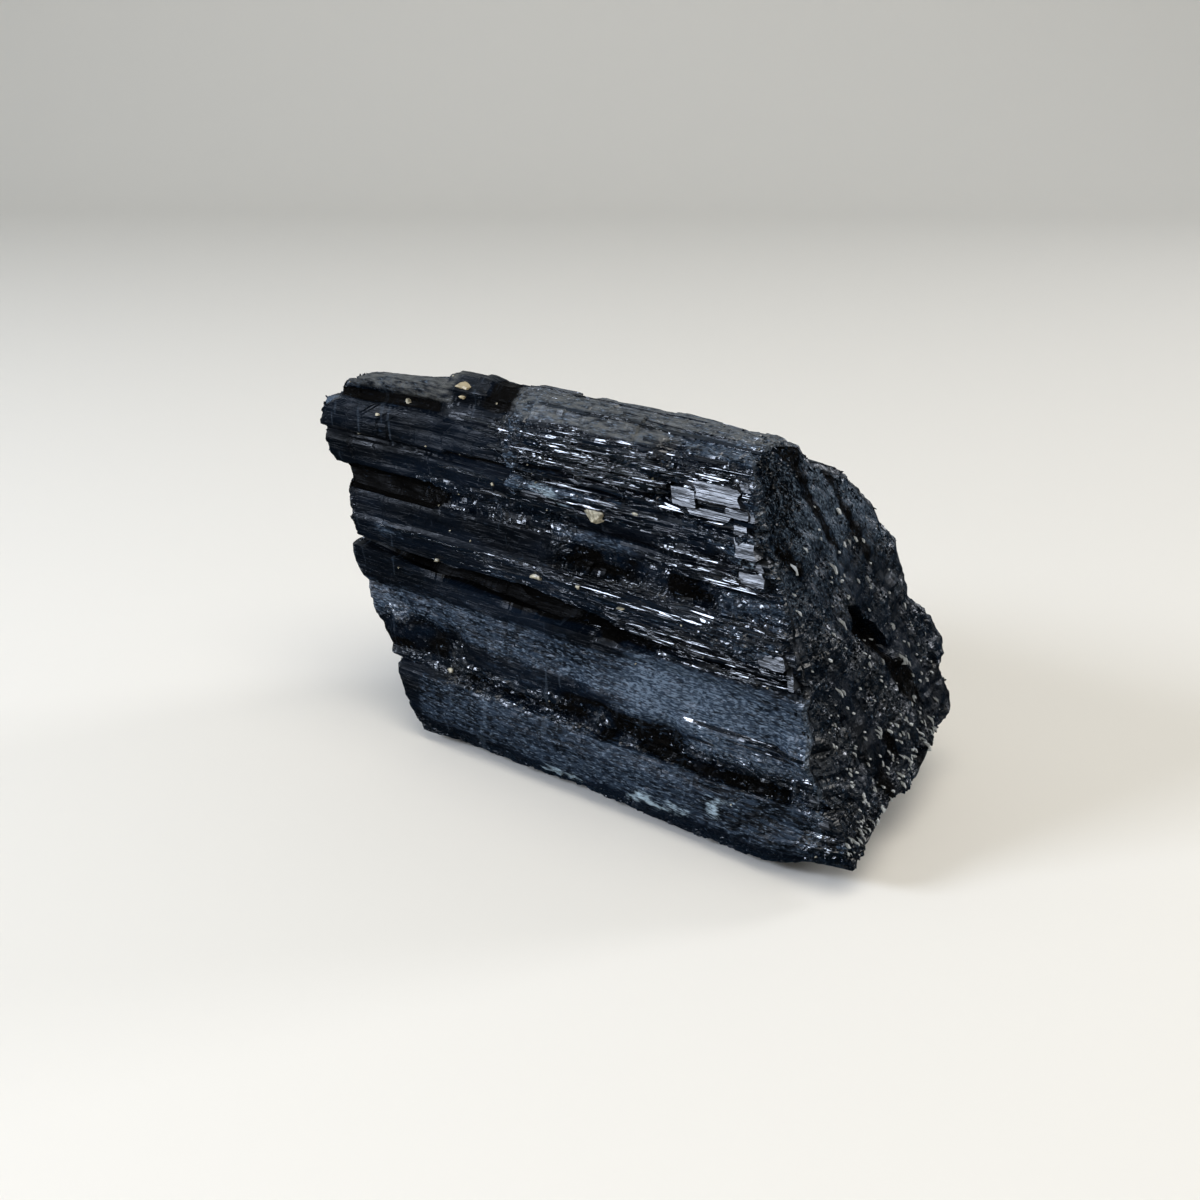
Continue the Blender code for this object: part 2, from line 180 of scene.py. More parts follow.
# where each finish lies on the striated side: X from and to, height from and to, slope, amount; a
# zone fades out along X zoneStretch times as far as up and down
zoneStretch = 2.5
finishZones = {
    "chips": (
        (24.0, 31.5, 63.0, 73.5, 1.2, 0.8),
        (62.5, 67.5, 62.0, 75.0, 1.0, 0.9),
        (66.0, 82.0, 72.5, 77.0, 2.0, 0.5),
        (76.0, 88.0, 53.0, 66.0, 1.5, 0.9),
        (0.0, 42.0, 51.0, 57.0, 1.0, 0.7),
        (36.0, 76.0, 44.4, 51.0, 1.2, 0.8),
        (84.0, 92.0, 40.0, 72.0, 1.2, 0.9),
        (-11.0, 13.0, 14.0, 26.0, 2.0, 0.5),
        (8.0, 104.0, 12.4, 18.5, 1.5, 0.85),
        (-30.0, 110.0, -4.0, 2.0, 1.5, 0.5),
        (78.0, 96.0, 38.0, 50.0, 2.0, 0.8),
        (96.0, 110.0, 0.0, 26.0, 3.0, 0.9),
        (76.0, 92.0, 66.0, 78.0, 3.0, 0.7),
    ),
    "stria": (
        (27.5, 82.0, 57.0, 73.6, 0.6, 1.0),
        (-30.0, 26.0, 57.0, 80.0, 0.8, 0.06),
        (20.0, 92.0, 38.6, 44.4, 1.0, 0.8),
        (40.0, 92.0, 33.4, 38.6, 1.0, 1.0),
        (62.0, 88.0, 48.5, 56.5, 1.0, 1.0),
        (-20.0, 24.0, 38.0, 44.4, 1.0, 0.15),
        (28.0, 84.0, 75.5, 82.0, 1.0, 0.35),
        (72.0, 98.0, 17.0, 24.0, 2.0, 0.45),
    ),
    # flecks and painted light: blue-grey flecks of the stone, lightened as painted light, mostly on the
    # shelf, the lower face and the other ledges that face up
    "flecksAndLight": (
        (-20.0, 98.0, 23.0, 30.4, 1.6, 0.75),
        (20.0, 76.0, 17.0, 24.0, 3.0, 0.3),
        (54.0, 100.0, 17.0, 33.4, 3.0, 0.95),
        (0.0, 100.0, 2.6, 13.0, 1.5, 0.7),
        (29.0, 50.0, 57.5, 62.0, 1.5, 0.95),
        (50.0, 76.0, 58.0, 62.5, 2.0, 0.6),
        (28.0, 84.0, 63.0, 73.0, 2.0, 0.5),
        (26.8, 30.5, 58.0, 74.0, 0.8, 0.9),
        (74.0, 90.0, 38.0, 66.0, 3.0, 0.7),
        (84.0, 92.0, 62.0, 76.0, 2.0, 0.8),
        (-22.0, 4.0, 71.5, 80.0, 1.5, 0.6),
        (24.0, 84.0, 73.6, 82.0, 1.5, 0.8),
        (-12.0, -4.0, 41.5, 44.6, 2.0, 0.8),
        (20.0, 76.0, 38.0, 44.6, 1.5, 0.45),
        (36.0, 56.0, 51.0, 53.5, 1.5, 0.8),
        (-20.0, 40.0, 30.0, 37.0, 1.0, 0.12),
    ),
    # painted sheen: the top strip and the top of the left block painted a lighter warm grey, standing in for
    # the room's reflection and the light on them
    "paintedSheen": (
        (26.0, 66.0, 73.6, 79.0, 0.6, 1.0),
        (64.0, 90.0, 76.2, 79.0, 0.6, 1.0),
        (-24.0, 10.0, 72.8, 80.0, 0.8, 0.95),
    ),
    "chalk": (
        (56.0, 73.0, 1.4, 5.2, 3.0, 1.0),
        (75.0, 81.5, 4.6, 10.0, 3.0, 1.0),
        (34.0, 46.0, 0.0, 3.0, 3.0, 0.8),
        (20.0, 30.0, 24.0, 29.0, 5.0, 0.4),
        (29.0, 42.0, 57.5, 62.0, 2.0, 0.9),
        (84.0, 89.0, 66.0, 73.0, 2.0, 0.7),
        (80.0, 85.0, 52.0, 58.0, 2.0, 0.6),
        (95.0, 100.0, 9.0, 17.0, 2.0, 0.45),
    ),
    # hollows: carved in a little and darkened as painted shade, with the near-black brown and the near-matt
    # hollow material
    "hollow": (
        (-36.0, 7.0, 50.2, 55.4, 2.6, 1.0),
        (37.0, 74.0, 44.8, 50.4, 2.2, 0.85),
        (19.0, 26.5, 73.0, 79.0, 1.8, 0.95),
        (10.0, 24.0, 72.4, 75.4, 1.4, 0.6),
        (10.0, 76.0, 62.4, 63.6, 0.7, 0.8),
        (48.0, 92.0, 12.4, 15.4, 1.0, 0.95),
        (14.0, 48.0, 13.6, 16.4, 1.2, 0.8),
        (-12.0, 10.0, 16.0, 24.5, 3.0, 0.75),
        (38.0, 70.0, 14.6, 20.2, 3.0, 0.8),
        (28.0, 76.0, 53.0, 56.0, 1.5, 0.6),
        (60.0, 78.0, 64.2, 65.2, 0.6, 0.6),
        (30.0, 66.0, 64.4, 65.6, 0.6, 0.7),
        (88.0, 92.0, 36.0, 44.0, 1.5, 0.6),
        (66.5, 68.0, 60.0, 72.0, 0.7, 0.8),
    ),
}
# the long groove that closes to a point at both ends, carved in and painted black as shade: X, its lower and
# its upper edge, its depth, and how far its painted shade reaches past the edges
longGroove = {
    "x": (-9.0, 10.0, 30.0, 50.0, 64.0),
    "low": (38.2, 35.9, 33.8, 33.2, 33.4),
    "high": (38.2, 38.2, 38.0, 36.5, 33.4),
    "depth": 2.6,
    "shade": 0.5,
}
# grooves that follow the rows, carved in and darkened as painted shade: X from and to, row from and to, slope
# in X, amount
grooveRows = (
    (-12.0, 64.0, 13.6, 15.4, 10.0, 0.8),
    (60.0, 88.0, 14.2, 15.2, 6.0, 0.6),
    (-25.0, 20.0, 20.6, 22.2, 6.0, 0.5),
    (-25.0, 28.0, 25.6, 26.4, 8.0, 0.35),
    (-25.0, 76.0, 28.7, 29.3, 8.0, 0.3),
    (-25.0, 8.0, 29.4, 30.35, 4.0, 0.85),
)


# scattered numbers from -1 to 1: the fraction of a large multiple of a sine of the three indices
def scatter(i, j, k):
    mixed = np.sin(i * 127.1 + j * 311.7 + k * 74.7) * 4375.85
    return 2.0 * (mixed - np.floor(mixed)) - 1.0


# smooth lumps: scattered numbers at the corners of cubic cells, blended by 3t^2 - 2t^3 inside each
def lumps(x, y, z, size):
    position = [np.asarray(value, float) / size for value in np.broadcast_arrays(x, y, z)]
    corner = [np.floor(value) for value in position]
    inside = [value - low for value, low in zip(position, corner)]
    blend = [value * value * (3.0 - 2.0 * value) for value in inside]
    total = 0.0
    for step in np.ndindex(2, 2, 2):
        weight = 1.0
        for side, amount in zip(step, blend):
            weight = weight * (amount if side else 1.0 - amount)
        total = total + weight * scatter(*(low + side for low, side in zip(corner, step)))
    return total


# flat chips: every point takes the nearest of the seeds scattered one to a cell, and its height is
# that seed's own level plus the seed's own slope times the way from the seed
def chips(x, y, z, size):
    place = [np.asarray(value, float) / size for value in np.broadcast_arrays(x, y, z)]
    cell = [np.floor(value) for value in place]
    best = np.full(place[0].shape, 1e9)
    height = np.zeros(place[0].shape)
    for step in np.ndindex(3, 3, 3):
        near = [low + side - 1 for low, side in zip(cell, step)]
        way = []
        for axis in range(3):
            seed = near[axis] + 0.5 + 0.45 * scatter(near[0] + 9.0 * axis, near[1], near[2])
            way.append(place[axis] - seed)
        far = way[0] ** 2 + way[1] ** 2 + way[2] ** 2
        level = 0.45 * scatter(near[2], near[0], near[1] + 31.0)
        for axis in range(3):
            level = level + way[axis] * scatter(near[1], near[2] + 17.0 * axis, near[0] + 5.0)
        height = np.where(far < best, level, height)
        best = np.minimum(best, far)
    return height


# a ramp from 0 to 1 that eases in and out
def ramp(value, start, length):
    share = np.clip((value - start) / length, 0.0, 1.0)
    return share * share * (3.0 - 2.0 * share)


# 1 between two limits, easing to 0 over a slope on each side
def between(value, low, high, slope):
    return ramp(value, low - slope / 2, slope) * (1.0 - ramp(value, high - slope / 2, slope))


# how much of a finish lies at X and a height: 1 less the product of what each zone leaves
def finishAmount(kind, x, height):
    left = 1.0
    for xLow, xHigh, low, high, slope, amount in finishZones[kind]:
        share = amount * between(x, xLow, xHigh, zoneStretch * slope) * between(height, low, high, slope)
        left = left * (1.0 - share)
    return 1.0 - left


# depth, height and roughness of every row at every station along the stone, in one array
def rowPlaces():
    part = stone["stations"][1] / stone["stations"][2]
    rows = []
    for low, far, end, leftSet, rightSet, rough in stone["sideRows"]:
        heights = (low, low + part * (far - low), far, end)
        depths = (leftSet, leftSet + part * (rightSet - leftSet), rightSet, rightSet)
        rows.append([(depth, height, rough) for depth, height in zip(depths, heights)])
    for left, middle, right, rough in stone["roundRows"]:
        rows.append([(*point, rough) for point in (left, middle, middle, right)])
    return np.array(rows)


# the hollow of the right break: 1 at its middle falling to 0 at the edge of a slanting ellipse
def bowl(depth, height):
    hollow = stone["hollow"]
    offDepth, offHeight = depth - hollow["at"][0], height - hollow["at"][1]
    away, down = hollow["slant"]
    along = offDepth * away - offHeight * down
    over = offDepth * down + offHeight * away
    halfLong, halfWide = hollow["half"]
    return np.clip(1.0 - (along / halfLong) ** 2 - (over / halfWide) ** 2, 0.0, 1.0)


# X of the two breaks over depth and height: a leaning line or plane, plus lumps, plus streaks that
# run down the right break, less the bowl of its hollow
def breakPlanes(depth, height):
    left = np.interp(height, *np.transpose(stone["leftEdge"])) + stone["leftTurn"] * depth
    left = left + 1.4 * lumps(7.0, depth, height, 9.0) + 0.8 * lumps(8.0, depth, height, 3.6)
    front = np.interp(height, *np.transpose(stone["rightEdge"]))
    start, perDepth, perHeight = stone["rightPlane"]
    plane = start + perDepth * depth + perHeight * (height - 2.0)
    right = front + (plane - front) * ramp(depth, 0.0, stone["rightCrestDepth"])
    slant = depth + 0.6 * height
    cross = height - 0.6 * depth
    streaks = 0.7 * lumps(3.0, slant / 3.0, cross, 3.0) + 0.6 * lumps(4.0, slant, cross, 2.2)
    right = right + 1.1 * lumps(5.0, depth, height, 10.0) + streaks
    return left, right - stone["hollow"]["deep"] * np.sqrt(bowl(depth, height))


# places on a break measured down the slant of its streaks and across it
def onSlant(depth, height):
    away, down = slantWay
    return depth * away - height * down, depth * down + height * away


# set-back and roughness of the places that stand out or are broken in: each a soft-edged box
def sideRelief(x, height):
    depth = 0.0
    rough = 0.0
    for xLow, xHigh, low, high, back, slope, alongSlope, grain in stone["places"]:
        share = between(x, xLow, xHigh, alongSlope) * between(height, low, high, slope)
        depth = depth + back * share
        rough = rough + grain * share
    return depth, rough


# broken columns: along each row X is cut into lengths, and each length has one scattered level
def columnSteps(x, row):
    length = 17.0 + 9.0 * scatter(row, 3.0, 1.0)
    piece = np.floor((x + 30.0 * scatter(row, 5.0, 2.0)) / length)
    return scatter(piece, row, 4.0)


# the solid's own skin at its rows, for any shares of the length: the rows' places blended between
# stations, X run from break to break, then moved inwards by relief, steps, ribs and grains
def solidSkin(shares):
    places = rowPlaces()
    weights = [np.interp(shares, stone["stations"], corner) for corner in np.eye(4)]
    depth, height, rough = np.einsum("sc,rsv->vcr", np.array(weights), places)
    left, right = breakPlanes(depth, height)
    x = left + (right - left) * shares[:, None]
    row = np.arange(len(places))[None, :]
    sideCount = len(stone["sideRows"])
    side = row < sideCount
    depth = depth * np.where(side, 0.8 + 0.45 * lumps(x, 9.0 * row, 0.0, 22.0), 1.0)
    ridge = (row > sideCount) & (row < sideCount + 4)
    under = row > len(places) - 9

    start, drop, growth = stone["ridgeBreak"]
    gone = np.clip(start - x, 0.0, None)
    height = height - np.where(ridge, (drop * ramp(gone, 0.0, 1.5) + growth * gone), 0.0)
    riseStart, riseLength, rise = stone["footRise"]
    nearFoot = np.clip(1.0 - (height + 1.0) / 10.0, 0.0, 1.0)
    height = height + np.where(side, rise * ramp(x, riseStart, riseLength) * nearFoot, 0.0)

    relief, moreRough = sideRelief(x, height)
    rough = rough + np.where(side, moreRough, 0.0)
    steps = 0.3 * columnSteps(x, row) + 0.55 * columnSteps(x, np.floor(row / 3.0) + 90.0)
    ribs = np.where(ridge, 0.3, 1.0) * (1.0 - ramp(x, 80.0, 12.0)) * lumps(x, 9.0 * row, 5.0, 26.0)
    ribs = np.where(side, 0.45 * lumps(x / 4.0, depth, height, 4.0), ribs)
    steps = steps * np.where(side & (row < 24), stone["sideSteps"], 1.0)
    grains = rough * np.where(side, 1.5, 1.0) * lumps(x / 1.7, depth, height, 3.2)
    edge = stone["edgeBreak"] * ((shares < 0.001) | (shares > 0.999))[:, None]
    inward = np.where(side, relief, 0.0) + np.where(under, 0.0, steps + ribs) + grains + edge

    along = np.roll(depth, -1, axis=1) - np.roll(depth, 1, axis=1)
    up = np.roll(height, -1, axis=1) - np.roll(height, 1, axis=1)
    size = np.hypot(along, up)
    flatSide = row < sideCount - 1
    depth = depth + inward * np.where(flatSide, 1.0, up / size)
    height = height + inward * np.where(flatSide, 0.0, -along / size)
    return np.stack([x, depth, np.maximum(height, stone["middle"][2])], axis=-1)


# fine rows between the solid's rows: places spread along the outline's length, closer on the ridge
# and wider underneath, each half of the outline (striated side, then the rest) with the same count
def fineRows():
    outline = rowPlaces()[:, 2, :2]
    sideCount = len(stone["sideRows"])
    gaps = np.hypot(*np.transpose(np.roll(outline, -1, axis=0) - outline))
    gaps[sideCount:sideCount + 4] *= stone["ridgeShare"]
    gaps[-9:-1] *= stone["underShare"]
    reach = np.concatenate([[0.0], np.cumsum(gaps)])
    rowAt = np.arange(len(reach))
    count = stone["rowsEachHalf"]
    share = (np.arange(count) + 0.5) / count
    foot = reach[0] - 0.5 * gaps[-1]
    top = reach[sideCount - 1] + 0.5 * gaps[sideCount - 1]
    end = reach[-1] - 0.5 * gaps[-1]
    places = np.concatenate([foot + (top - foot) * share, top + (end - top) * share])
    return np.interp(places, np.concatenate([[-gaps[-1]], reach]), np.concatenate([[-1], rowAt]))


# outward normals of a grid of points that closes round its rows: the cross product of the steps
# along the columns and round the rows
def gridNormals(points):
    along = np.gradient(points, axis=0)
    around = np.roll(points, -1, axis=1) - np.roll(points, 1, axis=1)
    normal = np.cross(along, around)
    return normal / (np.linalg.norm(normal, axis=-1, keepdims=True) + 1e-9)


# the same vectors with a length of one
def unit(vectors):
    return vectors / np.linalg.norm(vectors, axis=-1, keepdims=True)


# laths: strips along X of one width, cut into lengths, each with its own level and its own tilt
# across the strip, so that neighbours catch the light differently
def laths(x, strip, width, length, level, slope):
    lane = np.floor(strip / width)
    within = strip / width - lane - 0.5
    reach = length * (1.0 + 0.5 * scatter(lane, width, 2.0))
    piece = np.floor((x + 40.0 * scatter(lane, width, 7.0)) / reach)
    tilt = slope * width * within * scatter(piece, lane, 20.0 * width)
    return level * scatter(piece, lane, 10.0 * width) + tilt


# fine relief of the skin: height and size in millimetres, and how much longer than wide along X
skinTexture = {
    "wander": (0.5, 3.0, 30.0),
    "ripple": (0.22, 1.3, 24.0),
    "coarseChips": (0.6, 2.6, 1.5),
    "fineChips": (0.36, 1.25, 1.3),
    "grit": (0.14, 1.5, 1.8),
}


# one texture: its height times lumps or chips of its size, drawn out along X
def texture(shape, kind, x, y, z):
    high, size, stretch = skinTexture[kind]
    return high * shape(x / stretch, y, z, size)


# fine relief of the skin, outward: laths of four widths over drawn-out lumps, chips where the
# surface is crushed, a fine grain everywhere, less the depth of the hollows
def skinRelief(x, depth, height, around, finish):
    chipped, stria = finish["chips"], finish["stria"]
    strip = around + texture(lumps, "wander", x, around, 3.0)
    relief = 0.0
    for width, length, level, slope in stone["laths"]:
        relief = relief + laths(x, strip, width, length, level, slope)
    relief = relief * (0.1 + 0.9 * stria) * (1.0 - 0.7 * chipped)
    relief = relief + texture(lumps, "ripple", x, strip, 1.0) * (0.3 + 0.7 * stria)
    relief = relief * (1.0 - 0.7 * finish["paintedSheen"])
    coarse, fine, grit = [
        texture(chips, kind, x, depth, height) for kind in ("coarseChips", "fineChips", "grit")
    ]
    relief = relief + (coarse + fine) * chipped
    relief = relief + grit * (1.0 - chipped) * (0.45 + 0.55 * finish["flecksAndLight"])
    return relief - stone["hollowDepth"] * finish["hollow"] * ramp(x, -24.0, 10.0)


# how much of each finish lies on a break: the crushed areas and the flecked ones are drawn-out lumps, the
# flecks grow lighter towards the top as painted light, and the hollow and some dark streaks stay black, the
# hollow's black being painted shade
def breakFinish(depth, height, mark):
    slant, cross = onSlant(depth, height)
    crushed = 0.5 + 0.6 * lumps(mark, slant / 3.0, cross, 5.0) + 0.3 * lumps(mark, slant / 3.0, cross, 12.0)
    rim = 1.0 - ramp(depth, 5.0, 6.0) * ramp(height, 8.0, 10.0)
    # painted light: the upper part of the break is lightened, as if lit from above
    flecksAndTopLight = 0.1 + 0.85 * ramp(height, 36.0, 26.0) + 0.4 * lumps(mark + 9.0, slant / 2.0, cross, 5.0)
    streak = 0.85 * ramp(lumps(mark + 5.0, slant / 4.0, cross, 3.8), 0.08, 0.5)
    black = np.maximum(ramp(bowl(depth, height), 0.05, 0.3), streak) if mark == breakMarks[1] else streak
    return {
        "chips": np.clip(crushed + 0.3 * rim, 0.1, 1.0),
        "stria": np.zeros(depth.shape),
        "flecksAndLight": np.clip(flecksAndTopLight, 0.0, 1.1),
        "paintedSheen": np.zeros(depth.shape),
        "chalk": 0.3 * (1.0 - ramp(height, 26.0, 24.0)) * np.clip(crushed, 0.0, 1.0),
        "hollow": black,
    }


# chips of a break: height, how much longer than wide, size
breakChips = ((0.55, 3.4, 4.6), (0.3, 3.0, 1.9), (0.16, 2.4, 1.0))


# fine relief of a break, outward: chips of three sizes drawn out down the slant, lower where the
# break isn't crushed
def breakRelief(depth, height, mark):
    slant, cross = onSlant(depth, height)
    relief = 0.0
    for high, stretch, size in breakChips:
        relief = relief + high * chips(mark, slant / stretch, cross, size)
    return relief * (0.35 + 0.65 * breakFinish(depth, height, mark)["chips"])


# from the measuring frame in millimetres to the part's own frame in metres
def toMetres(points):
    return (points - np.array(stone["middle"])) * 0.001


# how much of each finish lies on the striated side, and where the long groove is cut: the zones, the
# grooves along the rows, both ragged where the side is crushed, then the long groove's own wedge
def sideFinish(x, depth, height, rows, side):
    finish = {kind: finishAmount(kind, x, height) for kind in finishZones}
    grooves = 1.0
    for xLow, xHigh, rowLow, rowHigh, slope, amount in grooveRows:
        share = between(x, xLow, xHigh, slope) * between(rows, rowLow, rowHigh, 0.5)
        grooves = grooves * (1.0 - amount * share)
    ragged = 1.0 - np.clip(0.26 - lumps(x / 2.5, depth, height, 2.2), 0.0, 1.0) * finish["chips"]
    finish["hollow"] = (1.0 - (1.0 - finish["hollow"]) * grooves) * ragged
    lowEdge, highEdge = [np.interp(x, longGroove["x"], longGroove[edge]) for edge in ("low", "high")]
    wavy = 0.35 * lumps(x / 5.0, 1.0, 1.0, 1.0)
    wide = ramp(highEdge - lowEdge, 0.1, 0.9) * side
    wedge, dark = [
        between(height, lowEdge + wavy - past, highEdge + wavy + past, 0.5) * wide
        for past in (0.0, longGroove["shade"])
    ]
    # painted shade: the long groove's black reaches past its edges
    finish["hollow"] = np.maximum(finish["hollow"], dark)
    finish["chalk"] = finish["chalk"] * np.clip(0.8 + 0.7 * lumps(x / 1.6, depth, height, 2.0), 0.0, 1.0)
    return finish, wedge


# away from that side the skin is crushed, striated and flecked in wide lumps, drawn out along X
def awayFinish(x, depth, height):
    return {
        "chips": np.clip(0.25 + 0.8 * lumps(x / 20.0, depth, height + 40.0, 12.0), 0.0, 0.8),
        "stria": 0.5 + 0.35 * lumps(x / 40.0, depth, height, 14.0),
        "flecksAndLight": 0.45 + 0.3 * lumps(x / 18.0, depth, height, 9.0),
        "paintedSheen": 0.0,
        "chalk": 0.0,
        "hollow": 0.0,
    }


# the fine skin: the solid's rows blended onto the fine rows, then moved along its normals by the
# relief, except where it rests; with it the amount of each finish
def fineSkin():
    shares = np.linspace(0.0, 1.0, stone["columns"])
    rows = fineRows()
    solid = solidSkin(shares)
    low = np.floor(rows).astype(int)
    part = (rows - low)[None, :, None]
    count = solid.shape[1]
    base = solid[:, low % count] * (1.0 - part) + solid[:, (low + 1) % count] * part
    normal = gridNormals(base)
    x, depth, height = np.moveaxis(base, -1, 0)
    side = (rows < len(stone["sideRows"]) + stone["ridgeRows"])[None, :]
    finish, wedge = sideFinish(x, depth, height, rows[None, :], side)
    away = awayFinish(x, depth, height)
    finish = {kind: np.where(side, finish[kind], away[kind]) for kind in finish}
    leftEnd, rightEnd = stone["nearEnds"]
    nearEnd = np.maximum(1.0 - ramp(shares, *leftEnd), ramp(shares, *rightEnd))[:, None]
    finish["chips"] = np.maximum(finish["chips"], 0.55 * nearEnd)
    finish["stria"] = finish["stria"] * (1.0 - nearEnd)
    middle = stone["columns"] // 2
    around = np.concatenate([[0.0], np.cumsum(np.hypot(*np.diff(base[middle, :, 1:], axis=0).T))])[None, :]
    relief = skinRelief(x, depth, height, around, finish) - longGroove["depth"] * wedge
    rest = stone["middle"][2]
    points = base + normal * np.where(height <= rest + 0.02, 0.0, relief)[..., None]
    points[..., 2] = np.maximum(points[..., 2], rest)
    return base, normal, points, finish


# one break: straight lines from each row of the striated side to the row that faces it across
# the end, laid on the break's surface, with the rim's own offset fading away from both ends
def endLines(rim, side):
    half = stone["rowsEachHalf"]
    front = np.arange(1, half - 1)
    back = 2 * half - 1 - front
    share = np.arange(1, stone["endColumns"]) / stone["endColumns"]
    depth = rim[front, 1][:, None] + (rim[back, 1] - rim[front, 1])[:, None] * share
    height = rim[front, 2][:, None] + (rim[back, 2] - rim[front, 2])[:, None] * share
    offRim = rim[:, 0] - breakPlanes(rim[:, 1], rim[:, 2])[side]
    nearRim = offRim[front][:, None] * (1.0 - share) ** 6 + offRim[back][:, None] * share ** 6
    surface = breakPlanes(depth, height)[side] + nearRim
    inside = np.minimum(ramp(share, 0.0, 0.04), ramp(1.0 - share, 0.0, 0.04))
    outward = 1.0 if side else -1.0
    surface = surface + outward * inside * breakRelief(depth, height, breakMarks[side])
    return np.stack([surface, depth, height], axis=-1)


# quads between the neighbours in a grid of point numbers, which is the last two axes; the order
# gives the corner that each quad starts from and its way round
def gridQuads(index, order=(0, 1, 2, 3)):
    corners = [index[..., :-1, :-1], index[..., :-1, 1:], index[..., 1:, 1:], index[..., 1:, :-1]]
    return np.stack([corners[place] for place in order], axis=-1).reshape(-1, 4)


# the same grid with its first place added again at the end of the last axis
def closedRing(index):
    return np.concatenate([index, index[..., :1]], axis=-1)


# quads round the skin, and over each break quads between its lines with a fan at foot and top
def stoneFaces(columns, rows):
    skin = np.arange(columns * rows).reshape(columns, rows)
    quads = [gridQuads(closedRing(skin), (0, 3, 2, 1))]
    fans = []
    half = rows // 2
    across = stone["endColumns"] - 1
    first = columns * rows
    for rim, turned in ((skin[0], True), (skin[-1], False)):
        inner = first + np.arange((half - 2) * across).reshape(half - 2, across)
        first = first + (half - 2) * across
        lines = np.column_stack([rim[1:half - 1], inner, rim[-2:half:-1]])
        foot = np.append(lines[0], rim[-1])
        top = np.append(lines[-1], rim[half])
        low = np.column_stack([np.full(len(foot) - 1, rim[0]), foot[1:], foot[:-1]])
        high = np.column_stack([np.full(len(top) - 1, rim[half - 1]), top[:-1], top[1:]])
        fan = np.concatenate([low, high])
        quads.append(gridQuads(lines, (3, 2, 1, 0) if turned else (0, 1, 2, 3)))
        fans.append(fan[:, ::-1] if turned else fan)
    return np.concatenate(quads), np.concatenate(fans)


# puts whole arrays of points, quads and triangles into a mesh
def meshFrom(name, points, quads, fans=None):
    fans = np.zeros((0, 3), int) if fans is None else fans
    mesh = bpy.data.meshes.new(name)
    mesh.vertices.add(len(points))
    mesh.vertices.foreach_set("co", np.ascontiguousarray(points, np.float32).ravel())
    corners = np.concatenate([quads.ravel(), fans.ravel()]).astype(np.int32)
    mesh.loops.add(len(corners))
    mesh.loops.foreach_set("vertex_index", corners)
    sizes = np.concatenate([np.full(len(quads), 4), np.full(len(fans), 3)])
    starts = np.concatenate([[0], np.cumsum(sizes)[:-1]]).astype(np.int32)
    mesh.polygons.add(len(sizes))
    mesh.polygons.foreach_set("loop_start", starts)
    mesh.update(calc_edges=True)
    mesh.validate()
    mesh.shade_flat()
    piece = bpy.data.objects.new(name, mesh)
    bpy.context.scene.collection.objects.link(piece)
    return piece


# stores one number per point for the materials to read
def storeValue(piece, name, values):
    layer = piece.data.attributes.new(name, "FLOAT", "POINT")
    layer.data.foreach_set("value", np.ascontiguousarray(values, np.float32).ravel())


# from which value a face counts as polished (a break from more) or as hollow; the border of the
# hollows wanders by lumps (height, stretch along X, size), and both are scattered face by face
faceBorders = {
    "polished": 0.42,
    "moreOnBreak": 0.3,
    "hollow": 0.5,
    "wander": (0.3, 3.0, 1.7),
    "scatter": 0.22,
}


# the whole stone: skin, both breaks, their finishes as one value per point, and for each face one of
# the three materials: 0 satin, 1 glassy, 2 hollow
def makeStone():
    base, normal, points, finish = fineSkin()
    left = endLines(points[0], 0)
    right = endLines(points[-1], 1)
    allPoints = np.concatenate([points.reshape(-1, 3), left.reshape(-1, 3), right.reshape(-1, 3)])
    quads, fans = stoneFaces(*points.shape[:2])
    piece = meshFrom("tourmalineStone", toMetres(allPoints), quads, fans)
    ends = [breakFinish(grid[..., 1], grid[..., 2], mark) for grid, mark in zip((left, right), breakMarks)]
    stored = {
        kind: np.concatenate([amount.ravel(), *(end[kind].ravel() for end in ends)])
        for kind, amount in finish.items()
    }
    for kind, values in stored.items():
        storeValue(piece, kind, values)
    x, depth, height = np.transpose(allPoints)
    onBreak = np.arange(len(allPoints)) >= points.size // 3
    storeValue(piece, "broken", onBreak)
    borders = faceBorders
    polished = np.maximum(stored["stria"], stored["chips"]) - borders["moreOnBreak"] * onBreak
    high, stretch, size = borders["wander"]
    shaded = stored["hollow"] + high * lumps(x / stretch, depth, height, size)
    polished, shaded = [
        np.concatenate([value[quads].mean(axis=1), value[fans].mean(axis=1)]) for value in (polished, shaded)
    ]
    spread = borders["scatter"] * scatter(np.arange(len(polished)) % 977.0, 2.0, 3.0)
    kinds = np.where(polished + spread > borders["polished"], 1, 0)
    # painted shade: faces deep in the hollows take the near-black, hardly reflecting hollow material
    kinds = np.where(shaded + 0.5 * spread > borders["hollow"], 2, kinds)
    piece.data.polygons.foreach_set("material_index", kinds.astype(np.int32))
    print("stone:", len(allPoints), "points,", 2 * len(quads) + len(fans), "triangles")
    return piece, (base, normal, points, finish), left, right


stonePiece, (skinBase, skinNormal, skinPoints, skinFinish), leftBreak, rightBreak = makeStone()
chance = np.random.default_rng(7)


# values of a grid over the skin at any column and row: a blend of the four grid points around
def onSkin(grid, column, row):
    count = grid.shape[1]
    column = np.clip(column, 0.0, grid.shape[0] - 1.001)
    low, under = np.floor(column).astype(int), np.floor(row).astype(int)
    along, up = column - low, row - under
    if grid.ndim == 3:
        along, up = along[..., None], up[..., None]
    under, over = under % count, (under + 1) % count
    near = grid[low, under] * (1.0 - up) + grid[low, over] * up
    far = grid[low + 1, under] * (1.0 - up) + grid[low + 1, over] * up
    return near * (1.0 - along) + far * along


